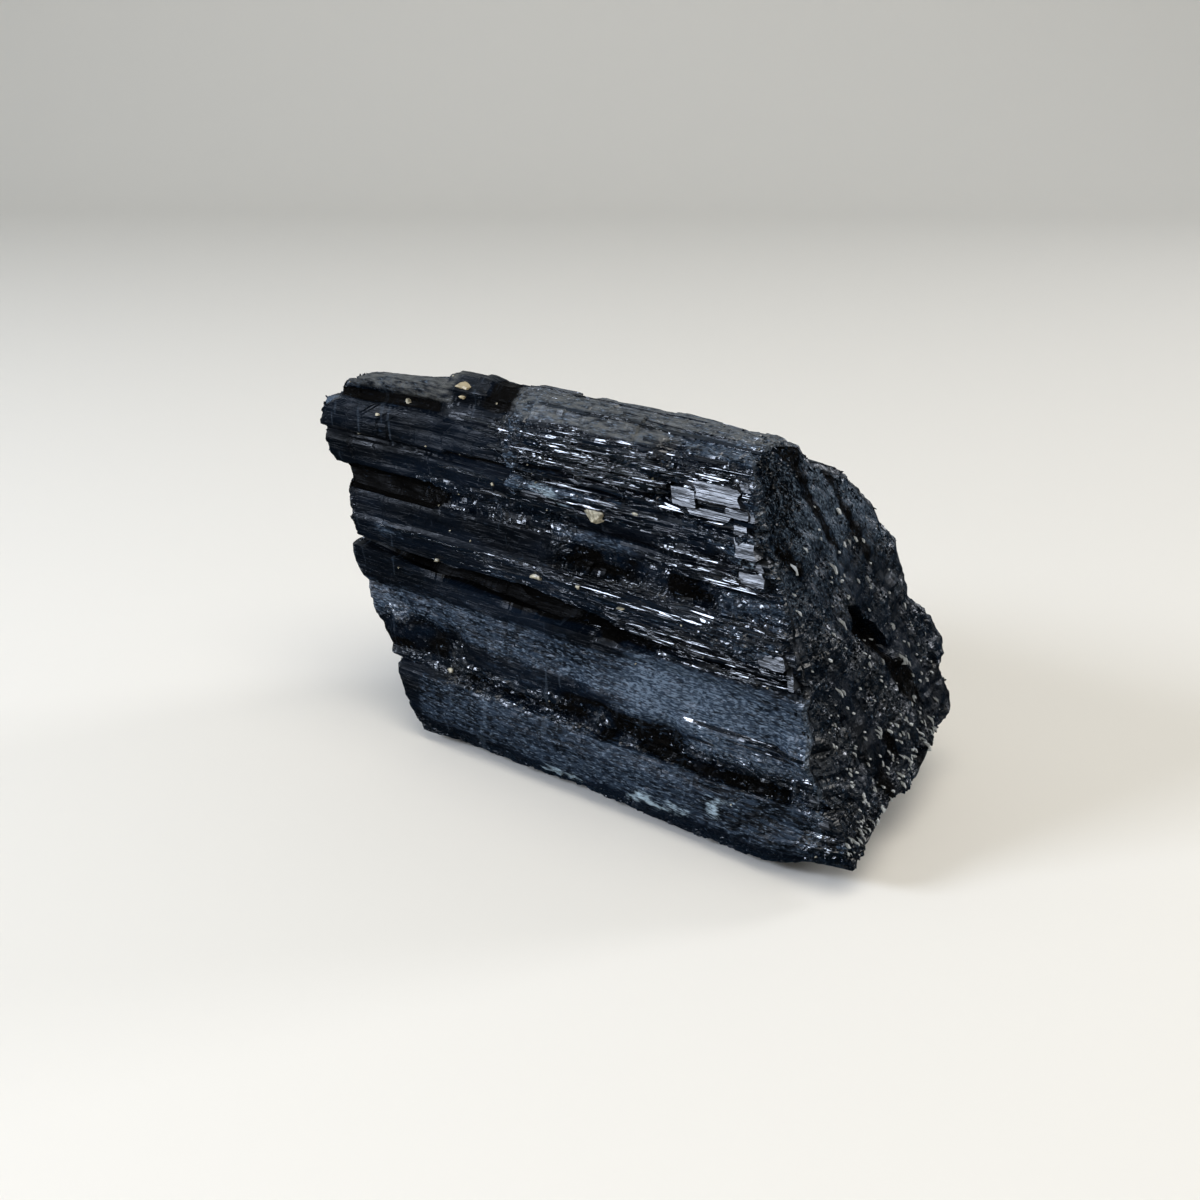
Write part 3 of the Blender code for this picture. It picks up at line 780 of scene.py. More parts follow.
# column and row of the point of the striated side that lies nearest to an X and a height: X as a
# share of the way between the breaks, the height by search over the rows of that column
def spotOnSide(x, height):
    left, right = breakPlanes(0.0, height)
    column = np.rint((x - left) / (right - left) * (stone["columns"] - 1)).astype(int)
    column = np.clip(column, 1, stone["columns"] - 2)
    heights = skinBase[column, :stone["rowsEachHalf"] + stone["bevelRows"], 2]
    return column, np.abs(heights - height[..., None]).argmin(axis=-1)


lathSettings = {
    "tries": 3400,
    # length and width; by this power most laths are short
    "length": (6.0, 52.0),
    "shortness": 2.2,
    "width": (0.25, 0.95),
    # how far each edge of the top stands out, how deep the foot lies, and how far both reach to each
    # side, as shares of the width
    "stands": (0.0, 0.4),
    "sunk": 0.6,
    "halfTop": 0.42,
    "halfFoot": 0.5,
    # usual length of a row, the share of the rows that can have laths, how far one strays across
    "rowLength": 112.0,
    "rowShare": 0.86,
    "stray": 0.35,
    # no lath where the skin counts as a hollow by more than this
    "hollowLimit": 0.4,
    "stations": 9,
}


# thin laths that stand on the skin: a four-cornered section with a tilted top, carried along the
# rows from a scattered start for a scattered length, and narrowed at both broken ends
def makeLaths():
    settings = lathSettings
    tries, stations = settings["tries"], settings["stations"]
    columns, rows = skinBase.shape[:2]
    perColumn = settings["rowLength"] / columns
    share = np.linspace(0.0, 1.0, stations)
    startColumn = chance.uniform(4, columns - 6, tries)
    row = chance.uniform(2, rows * settings["rowShare"], tries)
    shortest, longest = settings["length"]
    length = shortest + (longest - shortest) * chance.random(tries) ** settings["shortness"]
    middleColumn = startColumn + 0.5 * length / perColumn
    chosen = chance.random(tries) < onSkin(skinFinish["stria"], middleColumn, row) ** 2
    reached = startColumn[:, None] + length[:, None] / perColumn * share
    deepest = onSkin(skinFinish["hollow"], reached, row[:, None]).max(axis=1)
    chosen = chosen & (deepest < settings["hollowLimit"])
    reached, row = reached[chosen], row[chosen]
    count = len(row)
    column = np.minimum(reached, columns - 2.5)
    rowNow = row[:, None] + chance.normal(0.0, settings["stray"], count)[:, None] * share
    centre = onSkin(skinBase, column, rowNow)
    normal = onSkin(skinNormal, column, rowNow)
    across = unit(np.cross(normal, np.array([1.0, 0.0, 0.0])))
    narrowed = np.sin(math.pi * (0.12 + 0.76 * share)) ** 0.4
    width = chance.uniform(*settings["width"], count)[:, None] * narrowed
    stands = chance.uniform(*settings["stands"], (2, count))
    hollow = stone["hollowDepth"] * onSkin(skinFinish["hollow"], column, rowNow)
    foot, halfFoot, halfTop = -settings["sunk"], settings["halfFoot"], settings["halfTop"]
    corners = []
    for side, top in ((-halfFoot, foot), (-halfTop, stands[0]), (halfTop, stands[1]), (halfFoot, foot)):
        lift = (np.broadcast_to(np.asarray(top)[..., None], width.shape) - hollow)[..., None]
        corners.append(centre + across * (side * width)[..., None] + normal * lift)
    points = np.stack(corners, axis=2).reshape(-1, 3)
    index = np.arange(len(points)).reshape(count, stations, 4)
    quads = np.concatenate([gridQuads(closedRing(index), (3, 2, 1, 0)), index[:, 0], index[:, -1, ::-1]])
    piece = meshFrom("striaLaths", toMetres(points), quads)
    storeValue(piece, "stria", np.ones(len(points)))
    print("laths:", count)
    return piece


# bright flats among the striae: X and height of the middle, length, width, tilt up in degrees, how
# far the middle stands out
brightFlats = {
    "stations": 10,
    "lanes": 6,
    # a flat narrower than this is a line. Lines and broad flats differ in the scatter of their ends,
    # in how much they narrow to the ends, in the scatter of their width, in the slant of their ends
    # and in shine
    "lineBelow": 1.3,
    "line": (0.3, 0.35, 0.15, 0.0, 1.0),
    "broad": (0.12, 0.08, 0.06, 0.45, 0.08),
    # flats shorter than this are level, and longer ones follow the skin's line
    "levelBelow": 12.0,
    # steps between the lanes and along them, and how far the sides go down into the skin
    "steps": (0.035, 0.018),
    "thick": 1.6,
    # the middle stays this share of the length, and this much more, inside the right break
    "insideBreak": (0.65, 0.6),
    "flats": (
        (48.0, 67.2, 24.0, 0.5, 21.0, 0.6), (52.0, 65.8, 22.0, 0.45, 21.5, 0.6),
        (44.0, 70.4, 18.0, 0.4, 19.0, 0.4), (58.0, 69.0, 15.0, 0.5, 21.5, 0.6),
        (50.0, 64.4, 20.0, 0.4, 22.0, 0.5), (60.0, 66.2, 16.0, 0.45, 22.0, 0.6),
        (38.0, 68.4, 14.0, 0.4, 20.5, 0.5), (66.0, 70.0, 12.0, 0.4, 22.0, 0.5),
        (46.0, 62.9, 16.0, 0.35, 22.0, 0.5), (45.0, 69.4, 12.0, 0.9, 21.0, 0.5),
        (53.0, 68.4, 15.0, 1.2, 21.0, 0.6), (60.5, 67.4, 8.0, 1.0, 22.0, 0.5),
        (55.0, 71.4, 13.0, 0.6, 17.0, 0.3), (61.5, 70.4, 7.0, 0.6, 20.0, 0.4),
        (39.0, 66.6, 11.0, 0.6, 20.0, 0.4), (76.4, 68.2, 9.4, 3.0, 22.5, 0.9),
        (75.0, 70.8, 6.0, 1.0, 20.0, 0.6), (80.6, 65.4, 4.4, 1.4, 23.0, 0.8),
        (69.6, 66.4, 5.0, 2.8, 22.5, 0.9), (75.0, 64.4, 8.4, 1.3, 22.0, 0.8),
        (77.0, 62.4, 7.6, 1.0, 21.0, 0.7), (83.2, 60.0, 4.0, 4.0, 22.5, 1.0),
        (81.0, 63.2, 2.6, 1.8, 23.0, 0.8), (83.0, 54.6, 4.8, 3.8, 23.0, 0.9),
        (85.6, 57.4, 2.0, 1.8, 24.0, 1.0), (46.0, 60.0, 9.0, 0.7, 18.0, 0.3),
        (34.5, 60.2, 6.0, 1.3, 14.0, 0.3), (75.5, 52.8, 22.0, 0.6, 24.0, 1.0),
        (79.0, 50.9, 20.0, 0.6, 24.0, 1.0), (75.0, 55.2, 15.0, 0.5, 23.5, 0.9),
        (69.0, 36.9, 28.0, 0.5, 25.0, 0.7), (76.0, 36.2, 30.0, 0.45, 26.0, 0.6),
        (66.0, 38.4, 20.0, 0.4, 24.0, 0.6), (87.6, 39.4, 5.0, 2.4, 24.0, 0.7),
        (88.4, 36.8, 6.0, 0.8, 25.0, 0.5), (92.4, 37.4, 1.2, 4.6, 24.0, 0.7),
        (84.0, 34.4, 14.0, 0.9, 18.0, 0.3), (57.0, 42.0, 18.0, 0.4, 22.0, 0.4),
        (84.0, 23.2, 10.0, 0.3, 14.0, 0.2), (86.0, 21.6, 12.0, 0.35, 22.0, 0.3),
        (32.5, 71.0, 5.0, 0.8, 16.0, 0.3), (66.0, 72.6, 6.0, 0.7, 22.0, 0.4),
        (86.4, 70.2, 2.4, 1.4, 20.0, 0.4), (86.8, 65.4, 1.8, 1.8, 22.0, 0.4),
        (87.4, 61.0, 1.6, 1.4, 20.0, 0.4), (97.6, 15.4, 2.0, 1.4, 16.0, 0.4),
        (99.8, 11.4, 2.2, 1.6, 18.0, 0.4), (96.0, 18.4, 1.6, 1.0, 20.0, 0.3),
    ),
}


# each flat is a bundle of lanes along the striae: its top leans back with height at the tilt, every
# lane has its own small level and its own start and end, and the sides go down into the skin
def makeBrightFlats():
    settings = brightFlats
    stations, lanes = settings["stations"], settings["lanes"]
    x, height, length, width, tilt, stands = np.transpose(settings["flats"])[:, :, None, None]
    # none reaches past the right break
    reach, gap = settings["insideBreak"]
    x = np.minimum(x, breakPlanes(0.0, height)[1] - reach * length - gap)
    share = np.linspace(-0.5, 0.5, stations)[:, None]
    lane = np.arange(lanes)[None, :]
    # a line narrows to both ends; a broad flat keeps its width, and its ends are straight and slanted
    isLine = width < settings["lineBelow"]
    loose, taper, uneven, slant, shine = [
        np.where(isLine, thin, broad) for thin, broad in zip(settings["line"], settings["broad"])
    ]
    along = x + length * share * (1.0 + loose * scatter(lane, x, 3.0))
    wide = width * (1.0 - taper + taper * np.cos(math.pi * share))
    wide = wide * (1.0 + uneven * scatter(np.round(along), x, 3.0))
    across = wide * (lane / (lanes - 1) - 0.5)
    along = along - slant * across
    up = height + across
    face = skinBase[(*spotOnSide(along, up), 1)]
    middle = face.mean(axis=2, keepdims=True)
    straight = middle[:, :1] + (middle[:, -1:] - middle[:, :1]) * (share + 0.5)
    level = face.mean(axis=(1, 2), keepdims=True)
    face = np.where(length < settings["levelBelow"], level, 0.7 * straight + 0.3 * middle)
    laneStep, alongStep = settings["steps"]
    raised = laneStep * scatter(lane, x, 9.0) + alongStep * scatter(np.round(along / 1.5), lane, x)
    out = face - stands + np.tan(np.radians(tilt)) * across - raised
    grids = np.stack([
        np.stack([along, out, up], axis=-1), np.stack([along, out + settings["thick"] + stands, up], axis=-1),
    ], axis=1)
    index = np.arange(grids.size // 3).reshape(grids.shape[:-1])
    rim = np.concatenate([
        index[..., 0], index[:, :, -1, 1:], index[:, :, -2::-1, -1], index[:, :, 0, -2:0:-1],
    ], axis=2)
    quads = np.concatenate([
        gridQuads(index[:, 0], (0, 3, 2, 1)), gridQuads(index[:, 1], (1, 2, 3, 0)),
        gridQuads(closedRing(rim)[:, ::-1]),
    ])
    piece = meshFrom("brightFlats", toMetres(grids.reshape(-1, 3)), quads)
    storeValue(piece, "stria", np.repeat(shine.ravel(), 2 * stations * lanes))
    print("bright flats:", len(grids))
    return piece


grainSettings = {
    # how many at most on each break and on the skin, thickness and length
    "rightEnd": 5600,
    "leftEnd": 2200,
    "skin": 4200,
    "short": (0.15, 0.45),
    "long": (0.4, 1.5),
    # how far the corners are pushed, as a share of the size, and how far the long axis strays
    "push": 0.2,
    "stray": 0.22,
    # how deep the middles lie, and how deep on the left break
    "sunk": 0.2,
    "leftSunk": 0.5,
    # no grain lies lower than this above the resting plane
    "above": 1.4,
    # grains whose scattered number is above this are satin, the rest glassy
    "dull": -0.35,
}


# small chips: boxes with pushed corners, long axis near a given direction, half sunk in the surface
def chipBoxes(centre, direction):
    settings = grainSettings
    short, long = settings["short"], settings["long"]
    count = len(centre)
    corners = np.array([(x, y, z) for x in (-0.5, 0.5) for y in (-0.5, 0.5) for z in (-0.5, 0.5)])
    shape = corners[None] + chance.uniform(-settings["push"], settings["push"], (count, 8, 3))
    sizes = np.stack([
        chance.uniform(*long, count), chance.uniform(*short, count), chance.uniform(*short, count),
    ], axis=-1)
    aim = unit(direction + chance.normal(0.0, settings["stray"], (count, 3)))
    second = unit(np.cross(aim, chance.normal(0.0, 1.0, (count, 3))))
    axes = np.stack([aim, second, np.cross(aim, second)], axis=1)
    return (centre[:, None] + np.einsum("nck,nkd->ncd", shape * sizes[:, None], axes)).reshape(-1, 3)


# six outward quads for each box, whose corners run with X slowest and Z fastest
def boxFaces(count):
    one = np.array([(0, 1, 3, 2), (4, 6, 7, 5), (0, 4, 5, 1), (2, 3, 7, 6), (0, 2, 6, 4), (1, 5, 7, 3)])
    return (np.arange(count)[:, None, None] * 8 + one[None]).reshape(-1, 4)


# fracture grains: on both breaks where they are crushed and not black, drawn out down the slant, and
# over the crushed parts of the skin, drawn out along X
def makeGrains():
    settings = grainSettings
    downSlant = np.array([0.0, slantWay[0], -slantWay[1]])
    places, ways = [], []
    for grid, sunk, mark, count in (
        (rightBreak, settings["sunk"], breakMarks[1], settings["rightEnd"]),
        (leftBreak, -settings["leftSunk"], breakMarks[0], settings["leftEnd"]),
    ):
        lines, across = grid.shape[:2]
        tries = 3 * count
        picked = grid[chance.integers(2, lines - 2, tries), chance.integers(2, across - 2, tries)]
        finish = breakFinish(picked[:, 1], picked[:, 2], mark)
        keep = chance.random(tries) < finish["chips"] ** 2 * (1.0 - finish["hollow"])
        picked = picked[keep][:count]
        places.append(picked - np.array([sunk, 0.0, 0.0]))
        ways.append(np.broadcast_to(downSlant, picked.shape))
    columns, rows = skinBase.shape[:2]
    tries = settings["skin"] * 4
    column, row = chance.uniform(1, columns - 2, tries), chance.uniform(0, rows * 0.9, tries)
    chosen = chance.random(tries) < onSkin(skinFinish["chips"], column, row) ** 1.5
    column, row = column[chosen][:settings["skin"]], row[chosen][:settings["skin"]]
    places.append(onSkin(skinPoints, column, row) - onSkin(skinNormal, column, row) * settings["sunk"])
    ways.append(np.broadcast_to(np.array([1.0, 0.0, 0.0]), (len(row), 3)))
    centre = np.concatenate(places)
    high = centre[:, 2] > stone["middle"][2] + settings["above"]
    centre, way = centre[high], np.concatenate(ways)[high]
    points = chipBoxes(centre, way)
    piece = meshFrom("fractureGrains", toMetres(points), boxFaces(len(centre)))
    storeValue(piece, "broken", np.ones(len(points)))
    storeValue(piece, "chips", np.ones(len(points)))
    storeValue(piece, "flecksAndLight", np.repeat(chance.random(len(centre)) ** 3, 8))
    dull = scatter(np.arange(len(centre)), 5.0, 6.0) > settings["dull"]
    piece.data.polygons.foreach_set("material_index", np.repeat(dull, 6).astype(np.int32))
    print("grains:", len(centre))
    return piece


# pale grains of feldspar and mica grown into the stone
paleGrains = {
    # X and height on the striated side, size along and across, then 0 for ivory and 1 for tan
    "named": (
        (48.2, 59.0, 5.4, 4.6, 0), (32.9, 41.9, 4.0, 1.4, 0), (5.9, 39.2, 1.5, 0.8, 0),
        (-1.8, 71.6, 1.6, 1.4, 0), (44.6, 42.8, 1.2, 1.0, 0), (12.5, 76.4, 4.2, 1.3, 1),
        (13.0, 74.9, 2.0, 0.8, 1), (58.5, 60.8, 1.6, 0.8, 0), (8.5, 15.0, 2.0, 1.2, 0),
        (23.0, 59.6, 0.9, 0.8, 0), (-10.5, 67.6, 1.2, 0.8, 0), (54.0, 41.0, 2.8, 0.6, 0),
    ),
    # how many more lie over the striated side and on the right break, and their sizes
    "scattered": 34,
    "scatteredSize": (0.25, 0.55),
    "onRightEnd": 230,
    "endWidth": (0.22, 0.8),
    "endLength": (0.5, 3.0),
    # most of those on the break lie low: the two powers of a beta spread up the break
    "lowOnEnd": (1.3, 3.2),
    # how deep each one goes, and how thick it is: a little, and more with its length
    "sunk": 0.9,
    "thick": (0.2, 0.14),
}


# each grain is a ring of eight scattered reaches, spread in the surface round its centre, sunk below
# and drawn in above to a low middle; on the right break it lies drawn out down the slant
def makePaleGrains():
    settings = paleGrains
    x, height, along, across, tint = np.transpose(settings["named"])
    spot = spotOnSide(x, height)
    centres = [skinPoints[spot] + skinNormal[spot] * 0.15]
    strewn, onEnd = settings["scattered"], settings["onRightEnd"]
    column = chance.integers(3, stone["columns"] - 3, strewn)
    row = chance.integers(2, stone["rowsEachHalf"] + 10, strewn)
    centres.append(skinPoints[column, row])
    lines, places = rightBreak.shape[:2]
    line = (chance.beta(*settings["lowOnEnd"], onEnd) * (lines - 10)).astype(int) + 3
    centres.append(rightBreak[line, chance.integers(3, places - 4, onEnd)] + np.array([0.1, 0.0, 0.0]))
    centre = np.concatenate(centres)
    size = np.concatenate([
        np.column_stack([along, across]), chance.uniform(*settings["scatteredSize"], (strewn, 2)),
        np.column_stack([
            low + (high - low) * chance.random(onEnd) ** 2
            for low, high in (settings["endWidth"], settings["endLength"])
        ]),
    ])
    count = len(centre)
    broken = (np.arange(count) >= count - onEnd)[:, None]
    sideways = np.where(broken, [[0.0, 1.0, 0.0]], [[1.0, 0.0, 0.0]])[:, None]
    upwards = np.where(broken, [[0.0, -0.5, 0.9]], [[0.0, 0.0, 1.0]])[:, None]
    outward = np.where(broken, [[1.0, 0.0, 0.0]], [[0.0, -1.0, 0.0]])[:, None]
    turn = np.linspace(0.0, 2.0 * math.pi, 9)[:-1] + chance.uniform(-0.3, 0.3, (count, 8))
    uneven = np.where(size[:, :1] > 2.0, 0.13, 0.16)
    reach = 0.46 + uneven * chance.uniform(-1.0, 1.0, (count, 8))
    ring = (np.cos(turn) * reach * size[:, :1])[..., None] * sideways
    ring = ring + (np.sin(turn) * reach * size[:, 1:])[..., None] * upwards
    least, perLength = settings["thick"]
    thick = (least + perLength * size[:, :1])[..., None]
    sunk = outward * settings["sunk"]
    low = centre[:, None] + ring * 1.1 - sunk
    high = centre[:, None] + ring * 0.8 + outward * thick * chance.uniform(0.4, 1.1, (count, 8, 1))
    ends = [centre[:, None] + outward * thick, centre[:, None] - sunk]
    points = np.concatenate([low, high, *ends], axis=1)
    first = np.arange(count)[:, None] * 18
    here = first + np.arange(8)
    after = np.roll(here, -1, axis=1)
    quads = np.stack([here, after, after + 8, here + 8], axis=-1).reshape(-1, 4)
    upper = np.stack([here + 8, after + 8, np.broadcast_to(first + 16, (count, 8))], axis=-1)
    lower = np.stack([after, here, np.broadcast_to(first + 17, (count, 8))], axis=-1)
    fans = np.concatenate([upper.reshape(-1, 3), lower.reshape(-1, 3)])
    piece = meshFrom("paleGrains", toMetres(points.reshape(-1, 3)), quads, fans)
    storeValue(piece, "tan", np.repeat(np.append(tint, np.zeros(strewn + onEnd)), 18))
    storeValue(piece, "grey", np.repeat(broken[:, 0], 18))
    print("pale grains:", count)
    return piece


# sRGB hex to linear, with full alpha
def colour(hexValue):
    parts = [int(hexValue[i:i + 2], 16) / 255.0 for i in (1, 3, 5)]
    return (*[c / 12.92 if c <= 0.04045 else ((c + 0.055) / 1.055) ** 2.4 for c in parts], 1.0)


# adds a node, sets its properties and input values, links what is given as a socket, and gives one
# of its outputs back
def node(tree, kind, inputs=None, output=0, **settings):
    made = tree.nodes.new(kind)
    for name, value in settings.items():
        setattr(made, name, value)
    for name, value in (inputs or {}).items():
        if isinstance(value, bpy.types.NodeSocket):
            tree.links.new(value, made.inputs[name])
        else:
            made.inputs[name].default_value = value
    return made.outputs[output]


# a new material, its tree and its shader
def newMaterial(name):
    material = bpy.data.materials.new(name)
    material.use_nodes = True
    tree = material.node_tree
    return material, tree, tree.nodes["Principled BSDF"]


tourmalineFinish = {
    "deep": "#020407",
    "plank": "#09111b",
    # painted shade: the near-black brown that the hollows are darkened to
    "shadedBrown": "#080706",
    "slate": "#232e3b",
    # flecks and painted light: the blue-grey of the flecks and of the light on the ledges that face up
    "flecksAndLight": "#5f6d7c",
    # painted sheen: the warm grey that stands in for the reflection on the top strip and the light on the
    # tops
    "paintedSheen": "#565653",
    "pale": "#9fb2bd",
    "ior": 1.64,
    # specular level of the satin planks, of the glassy striae and chips, and deep in the hollows, kept near
    # zero there as painted shade, where hardly any light gets back out
    "specular": {"Satin": 0.13, "Glassy": 0.5, "HollowShade": 0.015},
    "satin": 0.31,
    "glassy": 0.07,
    # how much the roughness differs from chip to chip, and how much of the flecks and painted light a hollow
    # loses, which darkens it as painted shade
    "roughSpread": 0.14,
    "hollowShadeLoss": 0.88,
    # share of the flecks and painted light that comes in patches, and the share that lies evenly
    "patchy": (1.2, 0.38),
    # relief finer than the mesh, in millimetres
    "grooveDepth": 0.12,
    "chipDepth": 0.3,
    "fleckDepth": 0.1,
    # each pattern's turn about X, and one unit of it in metres: along the striae and twice across
    # them, but for the last, which is for the breaks, out of the break, down its slant and across it
    "sizes": (
        (0.0, (0.0036, 0.0009, 0.0009)), (0.0, (0.022, 0.001, 0.001)), (0.0, (0.0022, 0.018, 0.018)),
        (-0.985, (0.0008, 0.0024, 0.00075)),
    ),
}


# black tourmaline as it broke: glassy, so its striae and chips throw small hard highlights; the planks are
# satin with a navy cast, fine blue-grey flecks lie on the ledges that face up, lightened there as painted
# light, and the hollows and thin grooves are darkened as painted shade
def tourmalineMaterial(kind):
    finish = tourmalineFinish
    material, tree, shader = newMaterial("blackTourmaline" + kind)
    shader.inputs["IOR"].default_value = finish["ior"]
    shader.inputs["Specular IOR Level"].default_value = finish["specular"][kind]
    place = node(tree, "ShaderNodeTexCoord", output="Object")
    chipped, stria, flecksAndLight, paintedSheen, chalk, hollow, broken = [
        node(tree, "ShaderNodeAttribute", output="Fac", attribute_name=name)
        for name in ("chips", "stria", "flecksAndLight", "paintedSheen", "chalk", "hollow", "broken")
    ]

    alongStriae, longLines, crossing, downSlant = [
        node(tree, "ShaderNodeMapping", {
            "Vector": place, "Rotation": (turn, 0.0, 0.0), "Scale": sizes,
        }, vector_type="TEXTURE")
        for turn, sizes in finish["sizes"]
    ]
    drawn = node(tree, "ShaderNodeMix", {0: broken, 4: alongStriae, 5: downSlant}, 1, data_type="VECTOR")
    fleck, fineFleck, patches, lines, cracks = [
        node(tree, "ShaderNodeTexNoise", {
            "Vector": vector, "Scale": scale, "Detail": detail, "Roughness": 0.6,
        })
        for vector, scale, detail in (
            (drawn, 1.2, 3.0), (drawn, 3.0, 2.0), (drawn, 0.1, 4.0),
            (longLines, 1.15, 2.0), (crossing, 1.0, 2.0),
        )
    ]

    # chips finer than the mesh: each cell is one flat with its own tilt
    cell = node(tree, "ShaderNodeTexVoronoi", {"Vector": drawn, "Scale": 1.15}, "Position", feature="F1")
    cellColour = cell.node.outputs["Color"]
    cellChance = node(tree, "ShaderNodeSeparateColor", {"Color": cellColour})
    way = node(tree, "ShaderNodeVectorMath", {0: drawn, 1: cell}, operation="SUBTRACT")
    tilt = node(tree, "ShaderNodeVectorMath", {0: cellColour, 1: (0.5, 0.5, 0.5)}, operation="SUBTRACT")
    flat = node(tree, "ShaderNodeVectorMath", {0: way, 1: tilt}, "Value", operation="DOT_PRODUCT")

    # thin grooves along the striae, where the drawn-out noise passes its middle value; they are bumped in and
    # darkened as painted shade
    offLine = node(tree, "ShaderNodeMath", {0: lines, 1: 0.5}, operation="SUBTRACT")
    offLine = node(tree, "ShaderNodeMath", {0: offLine}, operation="ABSOLUTE")
    groove = node(tree, "ShaderNodeMapRange", {"Value": offLine, "From Min": 0.035, "From Max": 0.0})

    # flecks and painted light lie in patches and hardly in the hollows, which stay dark as painted shade;
    # flecks thicken where there is more of them
    loss, (patchy, even) = finish["hollowShadeLoss"], finish["patchy"]
    unshaded = node(tree, "ShaderNodeMath", {0: hollow, 1: -loss, 2: 1.0}, operation="MULTIPLY_ADD")
    uneven = node(tree, "ShaderNodeMath", {0: patches, 1: patchy, 2: even}, operation="MULTIPLY_ADD")
    fleckedAndLit = node(tree, "ShaderNodeMath", {0: flecksAndLight, 1: unshaded}, operation="MULTIPLY")
    fleckedAndLit = node(tree, "ShaderNodeMath", {0: fleckedAndLit, 1: uneven}, operation="MULTIPLY")
    # painted shade: the hollows take the near-black brown
    shadedBrownShare = node(tree, "ShaderNodeMath", {0: patches, 1: 0.6, 2: hollow}, operation="MULTIPLY_ADD")
    slateFleck = node(tree, "ShaderNodeMath", {0: fleckedAndLit, 1: 0.3, 2: fleck}, operation="MULTIPLY_ADD")
    flecksAndLightMix = node(tree, "ShaderNodeMath", {0: fleckedAndLit, 1: 0.25, 2: fineFleck}, operation="MULTIPLY_ADD")
    mottled = node(tree, "ShaderNodeMath", {0: fineFleck, 1: 0.7, 2: fleck}, operation="MULTIPLY_ADD")
    chalky = node(tree, "ShaderNodeMath", {0: chalk, 1: 0.75, 2: mottled}, operation="MULTIPLY_ADD")
    crackShare = node(tree, "ShaderNodeMath", {0: unshaded, 1: 0.12}, operation="MULTIPLY")
    grooveShare = node(tree, "ShaderNodeMath", {0: groove, 1: stria}, operation="MULTIPLY")

    # layers over the black body: what they follow, where they start and are full, how much, tint; the brown
    # and the deep grooves are painted shade, the flecks-and-light tint and the slate partly painted light,
    # the sheen a painted reflection
    tint = colour(finish["deep"])
    for value, start, full, most, name in (
        (patches, 0.36, 0.64, 1.0, "plank"), (shadedBrownShare, 0.75, 1.05, 1.0, "shadedBrown"),
        (slateFleck, 0.62, 0.84, 1.0, "slate"), (flecksAndLightMix, 0.68, 0.92, 0.9, "flecksAndLight"),
        (chalky, 1.2, 1.72, 1.0, "pale"), (fleck, 0.3, 0.7, paintedSheen, "paintedSheen"),
        (cracks, 0.655, 0.675, crackShare, "flecksAndLight"), (grooveShare, 0.0, 1.0, 0.8, "deep"),
    ):
        share = node(tree, "ShaderNodeMapRange", {
            "Value": value, "From Min": start, "From Max": full, "To Max": most,
        }, interpolation_type="SMOOTHSTEP")
        tint = node(tree, "ShaderNodeMix", {0: share, 6: tint, 7: colour(finish[name])}, 2, data_type="RGBA")
    tree.links.new(tint, shader.inputs["Base Color"])

    # striae and chips are glassy, the rest satin, and each chip differs a little
    glassy = node(tree, "ShaderNodeMath", {0: chipped, 1: 0.9}, operation="MULTIPLY")
    glassy = node(tree, "ShaderNodeMath", {0: stria, 1: glassy}, operation="MAXIMUM")
    rough = node(tree, "ShaderNodeMapRange", {
        "Value": glassy, "To Min": finish["satin"], "To Max": finish["glassy"],
    })
    spread = finish["roughSpread"]
    rough = node(tree, "ShaderNodeMath", {0: cellChance, 1: spread, 2: rough}, operation="MULTIPLY_ADD")
    tree.links.new(rough, shader.inputs["Roughness"])

    # relief: grooves deepest on the striae, flecks, then the tilted flats of the chips
    height = node(tree, "ShaderNodeMath", {0: stria, 1: 0.3}, operation="ADD")
    height = node(tree, "ShaderNodeMath", {0: height, 1: -finish["grooveDepth"]}, operation="MULTIPLY")
    height = node(tree, "ShaderNodeMath", {0: height, 1: groove}, operation="MULTIPLY")
    amount = node(tree, "ShaderNodeMath", {0: stria, 1: -0.8, 2: 1.0}, operation="MULTIPLY_ADD")
    amount = node(tree, "ShaderNodeMath", {0: amount, 1: finish["fleckDepth"]}, operation="MULTIPLY")
    height = node(tree, "ShaderNodeMath", {0: fleck, 1: amount, 2: height}, operation="MULTIPLY_ADD")
    amount = node(tree, "ShaderNodeMath", {0: chipped, 1: 0.06}, operation="ADD")
    amount = node(tree, "ShaderNodeMath", {0: amount, 1: finish["chipDepth"]}, operation="MULTIPLY")
    height = node(tree, "ShaderNodeMath", {0: flat, 1: amount, 2: height}, operation="MULTIPLY_ADD")
    normal = node(tree, "ShaderNodeBump", {"Strength": 1.0, "Distance": 0.001, "Height": height})
    tree.links.new(normal, shader.inputs["Normal"])
    return material


grainFinish = {
    "shade": "#7d7663",
    "ivory": "#c3bca6",
    "tan": "#a8997a",
    "grey": "#c4c8c9",
    "ior": 1.53,
    "rough": 0.38,
    # spots of shade and ivory to a metre
    "spots": 1400.0,
}


